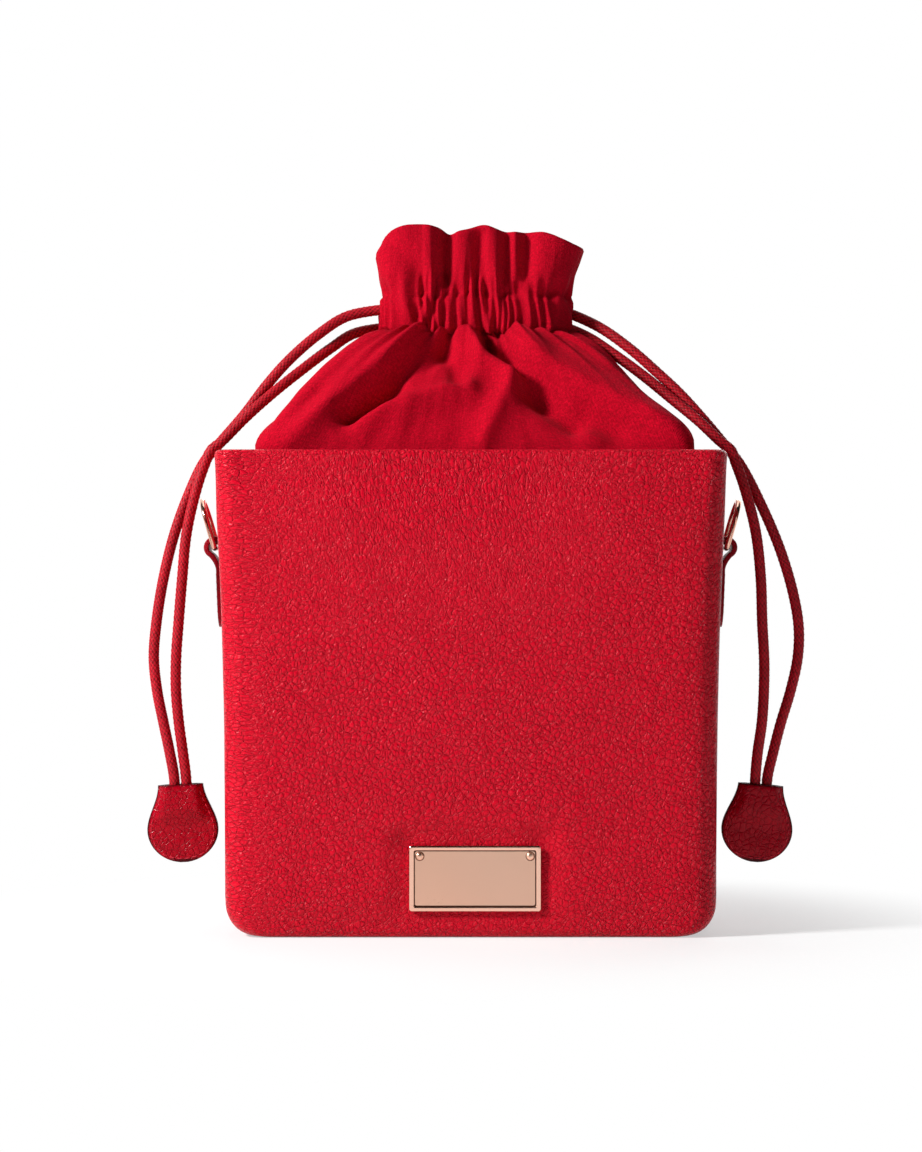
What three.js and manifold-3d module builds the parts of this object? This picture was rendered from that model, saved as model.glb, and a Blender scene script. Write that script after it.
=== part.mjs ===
// A box-shaped leather bag with a gathered fabric top closed by two drawstrings.
// Millimetres, +Z up. The origin is on the ground under the middle of the base and -Y is the front.
import * as THREE from 'three';
import { mergeVertices } from 'three/addons/utils/BufferGeometryUtils.js';
import Module from 'manifold-3d';

const wasm = await Module();
wasm.setup();

// Leather box
const bodyHeight = 189.5;
const baseWidth = 190.4;
const rimWidth = 200;
const baseDepth = 95;
const rimDepth = 100;
const flarePower = 2.8;
const edgeRadius = 8;
const endBottomRadius = 12;
const faceBottomRadius = 4;
const leatherThickness = 1.2;
const bottomTurnIn = 8;
const rimTurnDown = 19.5;
const clearance = 0.3;

// Padding, stiffening boards and lining inside the leather
const paddingThickness = 1.5;
const paddingEdge = 0.4;
const paddingTaper = 12;
const paddingBelowRim = 25;
const boardThickness = 1.5;
const boardBelowRim = 2.8;
const baseBoardThickness = 3;
const liningThickness = 0.8;

// Gathered fabric top
const fabricThickness = 0.8;
const hemHeight = 6.7;
const seamBelowRim = 14.5;
const neckHeight = 236.5;
const slopeBulge = 1.75;
const foldDepth = 1.25;
const neckCentreX = 1.6;
const cordLoopHalfWidth = 34;
const cordLoopHalfDepth = 11;
const channelHeight = 16.3;
const stitchHalfThickness = 0.9;
const pleatCount = 25;
const pleatHeight = 3.2;
const pleatSlant = 0.03;
const ruffleHeight = 24.5;
const ruffleFlareFront = 2.4;
const ruffleFlareLeft = 5;
const ruffleFlareRight = 8.4;
const ruffleCurlLeft = 4;
const ruffleDropLeft = 2.5;
const ruffleDropRight = 5.5;
const ruffleHalfThickness = 0.9;

// Drawstrings
const cordRadius = 2.2;
const cordLevelGap = 6.8;
const cordSides = 8;

// Fobs on the drawstring ends
const fobHeight = 30.8;
const fobTopHalfWidth = 8.9;
const fobHalfWidth = 14;
const fobWidest = 0.58;
const fobLeather = 1.5;
const fobPocketDepth = 9;
const fobPocketFade = 18;

// Side tabs and rings
const hingeHeight = 152;
const tabLeather = 2;
const tabLength = 32;
const tabWidth = 16;
const loopBore = 2.4;
const ringBand = 2.6;
const ringThickness = 2.2;
const ringBevel = 0.5;
const ringCorner = 2;
const ringHeight = 22;
const ringLean = 16;

// Name plate
const plateWidth = 51;
const plateHeight = 25.4;
const plateThickness = 1.6;
const plateBorder = 1.8;
const plateRecess = 0.5;
const plateCentreX = 1.6;
const plateCentreZ = 23.3;
const pinRadius = 1.45;
const pinHeight = 0.7;
const pinInset = 4.1;
const pinBelowTop = 4.1;

const materials = {
  leather: new THREE.MeshStandardMaterial({ color: 0xbb0e22, roughness: 0.5, metalness: 0 }),
  fobLeather: new THREE.MeshStandardMaterial({ color: 0x870917, roughness: 0.5, metalness: 0 }),
  tabLeather: new THREE.MeshStandardMaterial({ color: 0x7a0c18, roughness: 0.5, metalness: 0 }),
  lining: new THREE.MeshStandardMaterial({ color: 0x7a1219, roughness: 0.9, metalness: 0 }),
  fabric: new THREE.MeshStandardMaterial({ color: 0xb1091e, roughness: 0.85, metalness: 0 }),
  cord: new THREE.MeshStandardMaterial({ color: 0x8b1822, roughness: 0.7, metalness: 0 }),
  board: new THREE.MeshStandardMaterial({ color: 0x9a8263, roughness: 0.9, metalness: 0 }),
  foam: new THREE.MeshStandardMaterial({ color: 0xd9d4c8, roughness: 0.95, metalness: 0 }),
  roseGold: new THREE.MeshStandardMaterial({ color: 0xdca78d, roughness: 0.22, metalness: 1 }),
};

const bag = new THREE.Group();

function mix(a, b, t) {
  return a + (b - a) * t;
}

function clamp01(t) {
  return Math.min(1, Math.max(0, t));
}

function smooth(t) {
  const s = clamp01(t);
  return s * s * (3 - 2 * s);
}

function addMesh(name, geometry, material, parent = bag) {
  const mesh = new THREE.Mesh(geometry, material);
  mesh.name = name;
  parent.add(mesh);
  return mesh;
}

// Closed bodies made of an outside grid and an inside grid of points

function geometryFrom(points, triangles) {
  let volume = 0;
  for (const [a, b, c] of triangles) {
    volume += points[a].dot(points[b].clone().cross(points[c]));
  }
  const index = volume > 0 ? triangles.flat() : triangles.flatMap(([a, b, c]) => [a, c, b]);
  const geometry = new THREE.BufferGeometry();
  geometry.setAttribute('position', new THREE.Float32BufferAttribute(points.flatMap((p) => p.toArray()), 3));
  geometry.setIndex(index);
  return geometry;
}

function sheetSolid(outside, inside, { wrap = false, floor = false } = {}) {
  const rows = outside.length;
  const columns = outside[0].length;
  const points = [...outside.flat(), ...inside.flat()];
  const triangles = [];
  const quad = (a, b, c, d) => triangles.push([a, b, c], [a, c, d]);
  const out = (row, column) => row * columns + (column % columns);
  const inn = (row, column) => rows * columns + out(row, column);
  const lastColumn = wrap ? columns : columns - 1;
  for (let column = 0; column < lastColumn; column += 1) {
    for (let row = 0; row < rows - 1; row += 1) {
      quad(out(row, column), out(row, column + 1), out(row + 1, column + 1), out(row + 1, column));
      quad(inn(row, column), inn(row + 1, column), inn(row + 1, column + 1), inn(row, column + 1));
    }
    quad(out(0, column), inn(0, column), inn(0, column + 1), out(0, column + 1));
    if (!floor) {
      const end = rows - 1;
      quad(out(end, column), out(end, column + 1), inn(end, column + 1), inn(end, column));
    }
  }
  if (floor) {
    for (const [grid, at] of [[outside, out], [inside, inn]]) {
      const centre = points.length;
      points.push(new THREE.Vector3(0, 0, grid[rows - 1][0].z));
      for (let column = 0; column < columns; column += 1) {
        const pair = [at(rows - 1, column), at(rows - 1, column + 1)];
        triangles.push(at === out ? [...pair, centre] : [pair[1], pair[0], centre]);
      }
    }
  }
  if (!wrap) {
    for (let row = 0; row < rows - 1; row += 1) {
      quad(out(row, 0), out(row + 1, 0), inn(row + 1, 0), inn(row, 0));
      const side = columns - 1;
      quad(out(row, side), inn(row, side), inn(row + 1, side), out(row + 1, side));
    }
  }
  return geometryFrom(points, triangles);
}

function toManifold(geometry) {
  const bare = geometry.clone();
  bare.deleteAttribute('normal');
  bare.deleteAttribute('uv');
  const merged = mergeVertices(bare, 1e-4);
  return new wasm.Manifold(new wasm.Mesh({
    numProp: 3,
    vertProperties: Float32Array.from(merged.attributes.position.array),
    triVerts: Uint32Array.from(merged.index.array),
  }));
}

function fromManifold(solid) {
  const mesh = solid.getMesh();
  const geometry = new THREE.BufferGeometry();
  geometry.setAttribute('position', new THREE.BufferAttribute(mesh.vertProperties, 3));
  geometry.setIndex(new THREE.BufferAttribute(mesh.triVerts, 1));
  return geometry;
}

// The shape of the box: a rounded rectangle that flares towards the rim

const cornerSteps = 4;
const longSteps = 4;

function bodyHalfSizes(z) {
  const rise = clamp01(z / bodyHeight) ** flarePower;
  return { width: mix(baseWidth, rimWidth, rise) / 2, depth: mix(baseDepth, rimDepth, rise) / 2 };
}

function bottomInset(z, radius, inset) {
  const arc = Math.max(radius - inset, 0.6);
  const below = Math.min(Math.max(radius - z, 0), arc);
  return arc - Math.sqrt(arc * arc - below * below);
}

function frontHalfLoop(halfWidth, halfDepth, radius) {
  const points = [new THREE.Vector2(halfWidth, 0)];
  const corner = (side, step) => {
    const turn = (step / cornerSteps) * (Math.PI / 2);
    const swing = side > 0 ? turn : Math.PI / 2 - turn;
    points.push(new THREE.Vector2(
      side * (halfWidth - radius + radius * Math.cos(swing)),
      -(halfDepth - radius) - radius * Math.sin(swing),
    ));
  };
  for (let step = 0; step <= cornerSteps; step += 1) corner(1, step);
  for (let step = 1; step < longSteps; step += 1) {
    points.push(new THREE.Vector2(mix(halfWidth - radius, radius - halfWidth, step / longSteps), -halfDepth));
  }
  for (let step = 0; step <= cornerSteps; step += 1) corner(-1, step);
  points.push(new THREE.Vector2(-halfWidth, 0));
  return points;
}

function bodyHalf(z, inset, turnIn = 0) {
  const half = bodyHalfSizes(z);
  return frontHalfLoop(
    half.width - inset - bottomInset(z, endBottomRadius, inset) - turnIn,
    half.depth - inset - bottomInset(z, faceBottomRadius, inset) - turnIn,
    Math.max(edgeRadius - inset, 0.8),
  );
}

function bodyLoop(z, inset) {
  const front = bodyHalf(z, inset);
  const back = front.slice(1, -1).reverse().map((p) => new THREE.Vector2(p.x, -p.y));
  return [...front, ...back].map((p) => new THREE.Vector3(p.x, p.y, z));
}

// Outer leather: two panels that meet under the side tabs, each turned under the base and over the rim

const rimThickness = 2 * leatherThickness + boardThickness + 2 * clearance;
const rimRadius = rimThickness / 2;
const rimTurnEnd = bodyHeight - rimTurnDown;

function leatherPath(depthIn) {
  const scale = (endBottomRadius - depthIn) / endBottomRadius;
  const rows = [{ z: depthIn, inset: depthIn, turnIn: bottomTurnIn }];
  for (const share of [0, 0.09, 0.21, 0.34, 0.66, 1]) {
    rows.push({ z: depthIn + share * endBottomRadius * scale, inset: depthIn, turnIn: 0 });
  }
  const straightTop = bodyHeight - rimRadius;
  for (const share of [0.3, 0.52, 0.69, 0.82, 0.92, 1]) {
    rows.push({ z: mix(endBottomRadius, straightTop, share), inset: depthIn, turnIn: 0 });
  }
  const roll = rimRadius - depthIn;
  for (let step = 1; step <= 4; step += 1) {
    const turn = (step / 4) * Math.PI;
    const inset = rimRadius - roll * Math.cos(turn);
    rows.push({ z: straightTop + roll * Math.sin(turn), inset, turnIn: 0 });
  }
  rows.push({ z: rimTurnEnd, inset: rimRadius + roll, turnIn: 0 });
  return rows;
}

function leatherPanel(side) {
  const surface = (depthIn) => leatherPath(depthIn).map(({ z, inset, turnIn }) => {
    const loop = bodyHalf(z, inset, turnIn);
    return loop.map((p, at) => {
      const seam = at === 0 || at === loop.length - 1 ? clearance / 2 : 0;
      return new THREE.Vector3(p.x, -side * (p.y - seam), z);
    });
  });
  return sheetSolid(surface(0), surface(leatherThickness));
}

function roundedRectangle(halfWidth, halfHeight, radius) {
  const shape = new THREE.Shape();
  shape.absarc(halfWidth - radius, halfHeight - radius, radius, 0, Math.PI / 2);
  shape.absarc(radius - halfWidth, halfHeight - radius, radius, Math.PI / 2, Math.PI);
  shape.absarc(radius - halfWidth, radius - halfHeight, radius, Math.PI, 1.5 * Math.PI);
  shape.absarc(halfWidth - radius, radius - halfHeight, radius, 1.5 * Math.PI, 2 * Math.PI);
  shape.closePath();
  return shape;
}

function flatSlab(halfWidth, halfDepth, radius, bottom, thickness) {
  const shape = roundedRectangle(halfWidth, halfDepth, radius);
  const slab = new THREE.ExtrudeGeometry(shape, { depth: thickness, bevelEnabled: false, curveSegments: 4 });
  return slab.translate(0, 0, bottom);
}

const flatHalfWidth = baseWidth / 2 - endBottomRadius;
const flatHalfDepth = baseDepth / 2 - faceBottomRadius;
const basePanelInset = bottomTurnIn + clearance;

function addLeather() {
  addMesh('leather_front', leatherPanel(-1), materials.leather);
  addMesh('leather_back', leatherPanel(1), materials.leather);
  const base = flatSlab(
    flatHalfWidth - basePanelInset,
    flatHalfDepth - basePanelInset,
    edgeRadius - clearance,
    0,
    leatherThickness,
  );
  addMesh('leather_base', base, materials.leather);
}

// Padding and boards

const paddingTop = bodyHeight - paddingBelowRim;
const paddingInset = leatherThickness + clearance;
const boardRows = [0.28, 0.5, 0.66, 0.76];

function paddingDepth(z) {
  return mix(paddingEdge, paddingThickness, clamp01((paddingTop - z) / paddingTaper));
}

function boardInset(z) {
  const stepIn = clearance + paddingDepth(z);
  const fade = 1 - clamp01((z - paddingTop) / (paddingTaper / 3));
  return paddingInset + stepIn * fade;
}

function wallPadding() {
  const levels = [endBottomRadius, ...boardRows.map((share) => share * bodyHeight)];
  const heights = [...levels, paddingTop - paddingTaper, paddingTop].sort((a, b) => a - b);
  const outside = heights.map((z) => bodyLoop(z, paddingInset));
  const inside = heights.map((z) => bodyLoop(z, paddingInset + paddingDepth(z)));
  return sheetSolid(outside, inside, { wrap: true });
}

function wallBoard(axis, side, bottom) {
  const across = axis === 'depth' ? 4 : 2;
  const top = bodyHeight - boardBelowRim;
  const levels = boardRows.map((share) => mix(bottom, top, share));
  const bend = [paddingTop - paddingTaper, paddingTop, paddingTop + paddingTaper / 3];
  const heights = [bottom, ...levels, ...bend, top].sort((a, b) => a - b);
  const face = (extra) => heights.map((z) => {
    const half = bodyHalfSizes(z);
    const inset = boardInset(z) + extra;
    const reach = (axis === 'depth' ? half.width : half.depth) - edgeRadius;
    const row = [];
    for (let step = 0; step <= across; step += 1) {
      const along = mix(-reach, reach, step / across);
      const out = side * (half[axis] - inset);
      row.push(axis === 'depth' ? new THREE.Vector3(along, out, z) : new THREE.Vector3(out, along, z));
    }
    return row;
  });
  return sheetSolid(face(0), face(boardThickness));
}

const baseBoardBottom = leatherThickness + clearance;
const baseBoardTop = baseBoardBottom + baseBoardThickness;

function addStiffening() {
  addMesh('wall_padding', wallPadding(), materials.foam);
  addMesh('front_board', wallBoard('depth', -1, baseBoardTop + clearance), materials.board);
  addMesh('back_board', wallBoard('depth', 1, baseBoardTop + clearance), materials.board);
  addMesh('left_board', wallBoard('width', -1, endBottomRadius), materials.board);
  addMesh('right_board', wallBoard('width', 1, endBottomRadius), materials.board);
  const depth = flatHalfDepth - clearance;
  const base = flatSlab(flatHalfWidth, depth, edgeRadius, baseBoardBottom, baseBoardThickness);
  addMesh('base_board', base, materials.board);
}

// Lining: a bag inside the boards that ends just under the hem of the gathered top

const seamHeight = bodyHeight - seamBelowRim;
const hemBottom = seamHeight - hemHeight;
const liningInset = paddingInset + paddingThickness + clearance + boardThickness + clearance;

function liningSurface(inset) {
  const floor = inset;
  const heights = [hemBottom - clearance, 0.7 * hemBottom, 0.4 * hemBottom, endBottomRadius];
  for (const share of [0.35, 0.1, 0]) heights.push(mix(floor, endBottomRadius, share));
  return heights.map((z) => bodyLoop(z, inset));
}

function addLining() {
  const outside = liningSurface(liningInset);
  const inside = liningSurface(liningInset + liningThickness);
  for (const point of inside[0]) point.z = outside[0][0].z;
  addMesh('lining_bag', sheetSolid(outside, inside, { wrap: true, floor: true }), materials.lining);
}

// Drawstring routes, chosen by hand. Each cord starts in its fob, climbs to the channel,
// goes round the neck and comes back out on the same side.

const channelMiddle = neckHeight + channelHeight / 2 - 0.4;
const upperLevel = channelMiddle + cordLevelGap / 2;
const lowerLevel = channelMiddle - cordLevelGap / 2;

const leftOuterStrand = [
  [-117.2, -22, 50], [-117.3, -22, 60], [-119, -22, 70], [-121.6, -21, 82], [-124.3, -20, 95],
  [-125.7, -19, 108], [-124.7, -18.5, 122], [-121.9, -18.5, 139.5], [-117.6, -18.5, 157],
  [-111.4, -18.5, 174], [-105.8, -18.5, 185.6], [-99.2, -18.3, 193.6], [-90, -15.8, 204.6],
  [-81.2, -13, 216.6], [-72.2, -10.5, 227], [-60.6, -7.5, 237.4], [-49.5, -4.8, 244.6],
];
const leftInnerStrand = [
  [-112.4, -22, 50], [-112.6, -22, 60], [-113.8, -22.2, 70], [-115.4, -22.6, 82], [-116.5, -23.2, 95],
  [-116.4, -24, 108], [-115.4, -24, 122.3], [-114, -24, 139.5], [-112.2, -24, 157.7],
  [-108.2, -24, 175.2], [-104.8, -24, 185.2], [-102.6, -24, 190], [-98.4, -23.5, 193.6], [-89.4, -21, 203],
  [-79.2, -17, 212.6], [-68, -11.4, 222.2], [-55.8, -5, 232], [-47, -0.4, 238],
];
const rightOuterStrand = [
  [117.2, -22, 50], [117.4, -21.5, 60], [119.8, -20, 70], [122.9, -19, 81.6], [127, -18.5, 95],
  [129.8, -18.5, 108], [130.2, -18.5, 120], [128, -18.5, 133.5], [122.8, -18.5, 151],
  [115.4, -18.5, 168.5], [107, -18.5, 184.6], [100.2, -18.3, 193.2], [91.8, -15.4, 203.6],
  [83, -12.4, 213.6], [75, -9.6, 221.4], [63.8, -6.2, 231.6], [51, -1.2, 241],
];
const rightInnerStrand = [
  [112.4, -22, 50], [112.6, -22.4, 60], [113.4, -23, 70], [115.2, -24, 84], [116, -24, 104.6],
  [115.2, -24, 122.3], [114.6, -24, 140], [112.6, -24, 158], [108, -24, 176],
  [104.8, -24, 185], [102.9, -24, 190], [98.7, -23.4, 193.6], [90.4, -20.2, 201.8], [80.6, -15.4, 210.4],
  [69, -10.6, 220.4], [57.6, -6.2, 229.2], [47, -3.8, 236.4],
];

function neckRun(side, frontLevel, backLevel) {
  const middle = (frontLevel + backLevel) / 2;
  const swing = (backLevel - frontLevel) / 2;
  const straight = cordLoopHalfWidth - cordLoopHalfDepth;
  const exitTurn = 0.25 * Math.PI;
  const exitX = straight + cordLoopHalfDepth * Math.cos(exitTurn);
  const exitY = cordLoopHalfDepth * Math.sin(exitTurn);
  const leave = (depthSide, level) => [
    [neckCentreX + side * (exitX + 3.6), depthSide * exitY * 0.55, level],
    [neckCentreX + side * exitX, depthSide * exitY, level],
    [neckCentreX + side * mix(straight, exitX, 0.55), depthSide * cordLoopHalfDepth * 0.93, level],
  ];
  const along = (depthSide, level) => [0.9, 0, -0.9].map((share) => [
    neckCentreX + side * share * straight, depthSide * cordLoopHalfDepth, level,
  ]);
  const points = [...leave(-1, frontLevel), ...along(-1, frontLevel)];
  for (const degrees of [-60, -35, -12, 12, 35, 60]) {
    const turn = THREE.MathUtils.degToRad(degrees);
    const blend = Math.sin(Math.PI / 2 * Math.max(-1, Math.min(1, degrees / 40)));
    points.push([
      neckCentreX - side * (straight + cordLoopHalfDepth * Math.cos(turn)),
      cordLoopHalfDepth * Math.sin(turn),
      middle + swing * blend,
    ]);
  }
  return [...points, ...along(1, backLevel).reverse(), ...leave(1, backLevel).reverse()];
}

const cordRoutes = {
  left: [...leftOuterStrand, ...neckRun(-1, upperLevel, lowerLevel), ...leftInnerStrand.toReversed()],
  right: [...rightInnerStrand, ...neckRun(1, lowerLevel, upperLevel), ...rightOuterStrand.toReversed()],
};

function cordTube(route, radius) {
  const curve = new THREE.CatmullRomCurve3(route.map((p) => new THREE.Vector3(...p)), false, 'centripetal');
  const section = new THREE.Shape();
  for (let side = 0; side < cordSides; side += 1) {
    const turn = (side / cordSides) * 2 * Math.PI;
    section[side === 0 ? 'moveTo' : 'lineTo'](radius * Math.cos(turn), radius * Math.sin(turn));
  }
  section.closePath();
  const steps = Math.round(curve.getLength() / (2 * 2.1 * cordRadius));
  return new THREE.ExtrudeGeometry(section, { steps, extrudePath: curve, bevelEnabled: false });
}

function addCords() {
  addMesh('drawstring_left', cordTube(cordRoutes.left, cordRadius), materials.cord);
  addMesh('drawstring_right', cordTube(cordRoutes.right, cordRadius), materials.cord);
}

// Gathered top: one fabric piece from the hem inside the rim, up the slope, through the doubled
// channel round the cords to the ruffle. Its folds are strokes seen from the front:
// [x, z] points, then height (ridges above zero, hollows below) and half width.

const foldStrokes = [
  { path: [[-14, 241], [-31, 228], [-49, 211], [-72, 191]], height: 3.4, width: 6.5 },
  { path: [[-13, 231], [-30, 217], [-47, 204]], height: -4.2, width: 5 },
  { path: [[-40, 212], [-48, 204]], height: -1.6, width: 4.5 },
  { path: [[-44, 200], [-30, 205], [-13, 210], [-2, 213]], height: 2.6, width: 5.5 },
  { path: [[-12, 235], [-25, 219]], height: 2, width: 3.2 },
  { path: [[-9, 232], [-5, 216]], height: -2.2, width: 3.6 },
  { path: [[-2, 236], [5, 227], [18, 218]], height: 3, width: 4.2 },
  { path: [[18, 218], [10, 203], [4, 191]], height: 1.8, width: 6 },
  { path: [[8, 233], [25, 214], [40, 201]], height: -4.4, width: 5.2 },
  { path: [[20, 238], [31, 224], [44, 216], [64, 205], [84, 193]], height: 3.4, width: 7 },
  { path: [[46, 207], [58, 200]], height: -1.6, width: 5 },
  { path: [[34, 206], [50, 193]], height: 1.4, width: 5 },
  { path: [[-88, 190], [-64, 214], [-42, 232]], height: 0.8, width: 6 },
];
const ruffleStrokes = [
  { path: [[-27, 256], [-30, 281]], height: 3.5, width: 9 },
  { path: [[-29, 275], [-20, 259]], height: -2.2, width: 3.5 },
  { path: [[-16.5, 256], [-16.5, 281]], height: 2.6, width: 3.2 },
  { path: [[-9.8, 257], [-9.5, 281]], height: -5, width: 2.6 },
  { path: [[-3, 256], [-3, 281]], height: 2, width: 4.5 },
  { path: [[2.5, 256], [4.5, 276]], height: -2.2, width: 2.8 },
  { path: [[10, 256], [7, 281]], height: 3.2, width: 4.2 },
  { path: [[14, 258], [14.3, 281]], height: -2.6, width: 2.2 },
  { path: [[17.6, 257], [17.6, 281]], height: 1.9, width: 2.2 },
  { path: [[22.2, 256], [22.5, 281]], height: -3.6, width: 3 },
  { path: [[28, 258], [33, 281]], height: 3.6, width: 8 },
];
const ruffleEdge = [
  { at: -21, lift: 3, width: 12 },
  { at: -8, lift: -1.6, width: 2.6 },
  { at: 5, lift: 2.6, width: 6 },
];

function strokeDistance(path, x, z) {
  let nearest = Infinity;
  for (let at = 0; at + 1 < path.length; at += 1) {
    const [ax, az] = path[at];
    const [bx, bz] = path[at + 1];
    const along = clamp01(((x - ax) * (bx - ax) + (z - az) * (bz - az)) / ((bx - ax) ** 2 + (bz - az) ** 2));
    nearest = Math.min(nearest, Math.hypot(x - mix(ax, bx, along), z - mix(az, bz, along)));
  }
  return nearest;
}

// The back has the front's folds, turned round the middle
function strokeHeight(strokes, x, y, z, facingDepth) {
  const viewX = y > 0 ? -x : x;
  let height = 0;
  for (const stroke of strokes) {
    const share = strokeDistance(stroke.path, viewX, z) / stroke.width;
    height += stroke.height * Math.exp(-share * share);
  }
  return height * smooth(Math.abs(y) / facingDepth);
}

function pleatWave(u, count, drift) {
  const turn = 2 * Math.PI * u;
  const phase = count * u + 0.22 * Math.sin(3 * turn + drift) + 0.16 * Math.sin(7 * turn + 2.3 * drift);
  const strength = 0.78 + 0.22 * Math.sin(5 * turn + 1.7 * drift);
  return strength * (0.5 + 0.5 * Math.cos(2 * Math.PI * phase)) ** 1.3;
}

// A point and outward direction on a rounded rectangle, a share u of the way round from +X towards -Y
function loopPoint(halfWidth, halfDepth, radius, u) {
  const shortSide = halfDepth - radius;
  const longSide = 2 * (halfWidth - radius);
  const arc = (Math.PI / 2) * radius;
  const half = 2 * shortSide + 2 * arc + longSide;
  const mirrored = u > 0.5;
  let along = (mirrored ? 1 - u : u) * 2 * half;
  const flip = mirrored ? -1 : 1;
  const place = (x, y, nx, ny) => ({ x, y: flip * y, nx, ny: flip * ny });
  if (along <= shortSide) return place(halfWidth, -along, 1, 0);
  along -= shortSide;
  if (along <= arc) {
    const turn = along / radius;
    const [nx, ny] = [Math.cos(turn), -Math.sin(turn)];
    return place(halfWidth - radius + radius * nx, -shortSide + radius * ny, nx, ny);
  }
  along -= arc;
  if (along <= longSide) return place(halfWidth - radius - along, -halfDepth, 0, -1);
  along -= longSide;
  if (along <= arc) {
    const turn = along / radius;
    const [nx, ny] = [-Math.sin(turn), -Math.cos(turn)];
    return place(radius - halfWidth + radius * nx, -shortSide + radius * ny, nx, ny);
  }
  return place(-halfWidth, -shortSide + (along - arc), -1, 0);
}

const hemInset = rimThickness + clearance;
const channelWall = cordRadius + clearance + 0.9;
const channelTop = neckHeight + channelHeight;
const seamCorner = Math.max(edgeRadius - hemInset, 1);

function hemPoint(u, height = seamHeight) {
  const half = bodyHalfSizes(height);
  return loopPoint(half.width - hemInset, half.depth - hemInset, seamCorner, u);
}

function cordPoint(u) {
  const point = loopPoint(cordLoopHalfWidth, cordLoopHalfDepth, cordLoopHalfDepth, u);
  return { ...point, x: point.x + neckCentreX };
}

function shifted(point, direction, distance) {
  return new THREE.Vector3(
    point.x + direction.x * distance,
    point.y + direction.y * distance,
    point.z + direction.z * distance,
  );
}

function slopeRow(share, u) {
  const hem = hemPoint(u);
  const neck = cordPoint(u);
  const rise = 1 - (1 - share) ** slopeBulge;
  const base = {
    x: mix(hem.x, neck.x, share),
    y: mix(hem.y, neck.y, share),
    z: mix(seamHeight, neckHeight, rise),
  };
  const tilt = share < 1 ? 0.75 * smooth(share / 0.25) : 0.4;
  const plan = new THREE.Vector2(mix(hem.nx, neck.nx, share), mix(hem.ny, neck.ny, share)).normalize();
  const direction = { x: plan.x * Math.cos(tilt), y: plan.y * Math.cos(tilt), z: Math.sin(tilt) };
  const pleats = 1.1 * pleatHeight * pleatWave(u, pleatCount, 1) * smooth((share - 0.3) / 0.7);
  const strokes = foldDepth * strokeHeight(foldStrokes, base.x, base.y, base.z, 12);
  const folds = strokes * smooth(share / 0.3) * smooth((1 - share) / 0.12);
  const out = pleats + folds;
  const thickness = mix(fabricThickness, 2 * stitchHalfThickness, smooth((share - 0.8) / 0.2));
  return { outside: shifted(base, direction, out), inside: shifted(base, direction, out - thickness) };
}

// How far the pleats lean to one side or the other on their way up the channel, as a share of the loop
function slant(u) {
  return pleatSlant * Math.sin(6 * Math.PI * u + 1);
}

function hemRow(u) {
  const hem = hemPoint(u, hemBottom);
  const base = { x: hem.x, y: hem.y, z: hemBottom };
  const direction = { x: hem.nx, y: hem.ny, z: 0 };
  return { outside: shifted(base, direction, 0), inside: shifted(base, direction, -fabricThickness) };
}

function channelRow(share, u) {
  const cord = cordPoint(u);
  const base = { x: cord.x, y: cord.y, z: mix(neckHeight, channelTop, share) };
  const direction = { x: cord.nx, y: cord.ny, z: 0 };
  const bulge = smooth((0.5 - Math.abs(share - 0.5)) / 0.17);
  const wall = mix(stitchHalfThickness, channelWall, bulge);
  const pleats = pleatWave(u + share * slant(u), pleatCount, 1);
  const inner = 0.4 * pleatHeight * pleatWave(u + 0.5 / pleatCount, pleatCount, 1);
  return {
    outside: shifted(base, direction, wall + pleatHeight * pleats * mix(1.1, 0.6, bulge)),
    inside: shifted(base, direction, -wall - inner),
  };
}

// How high the ruffle's top edge stands over its even height
function ruffleLift(cord) {
  const viewX = cord.y > 0 ? -cord.x : cord.x;
  let lift = 0;
  for (const wave of ruffleEdge) {
    const away = (viewX - wave.at) / wave.width;
    lift += wave.lift * Math.exp(-away * away);
  }
  const end = smooth((Math.abs(cord.x - neckCentreX) - 25) / 9);
  const drop = cord.x > neckCentreX ? ruffleDropRight : ruffleDropLeft;
  return lift * smooth(Math.abs(cord.y) / 9) - drop * end;
}

function ruffleRow(share, u) {
  const cord = cordPoint(u);
  const z = channelTop + (ruffleHeight + ruffleLift(cord)) * share;
  const base = { x: cord.x, y: cord.y, z };
  const direction = { x: cord.nx, y: cord.ny, z: 0 };
  const endness = cord.nx * cord.nx;
  const leftCurl = cord.nx < 0 ? ruffleCurlLeft * endness * smooth((share - 0.7) / 0.3) : 0;
  const endFlare = cord.nx < 0 ? ruffleFlareLeft : ruffleFlareRight;
  const flare = mix(ruffleFlareFront, endFlare, endness) * share ** 0.8 - leftCurl;
  const folds = strokeHeight(ruffleStrokes, cord.x, cord.y, z, 9) * smooth(share / 0.35);
  const fine = 1.1 * pleatHeight * pleatWave(u + slant(u), pleatCount, 1) * (1 - share) ** 3;
  const out = flare + folds + fine + ruffleHalfThickness;
  return {
    outside: shifted(base, direction, out),
    inside: shifted(base, direction, out - 2 * ruffleHalfThickness),
  };
}

const topColumns = 104;

function topRows() {
  const rows = [hemRow];
  for (const share of [0, 0.1, 0.21, 0.33, 0.46, 0.6, 0.75, 0.9]) rows.push((u) => slopeRow(share, u));
  for (const share of [0, 0.17, 0.5, 0.83, 1]) rows.push((u) => channelRow(share, u));
  for (const share of [0.2, 0.42, 0.64, 0.84, 1]) rows.push((u) => ruffleRow(share, u));
  return rows;
}

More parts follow.
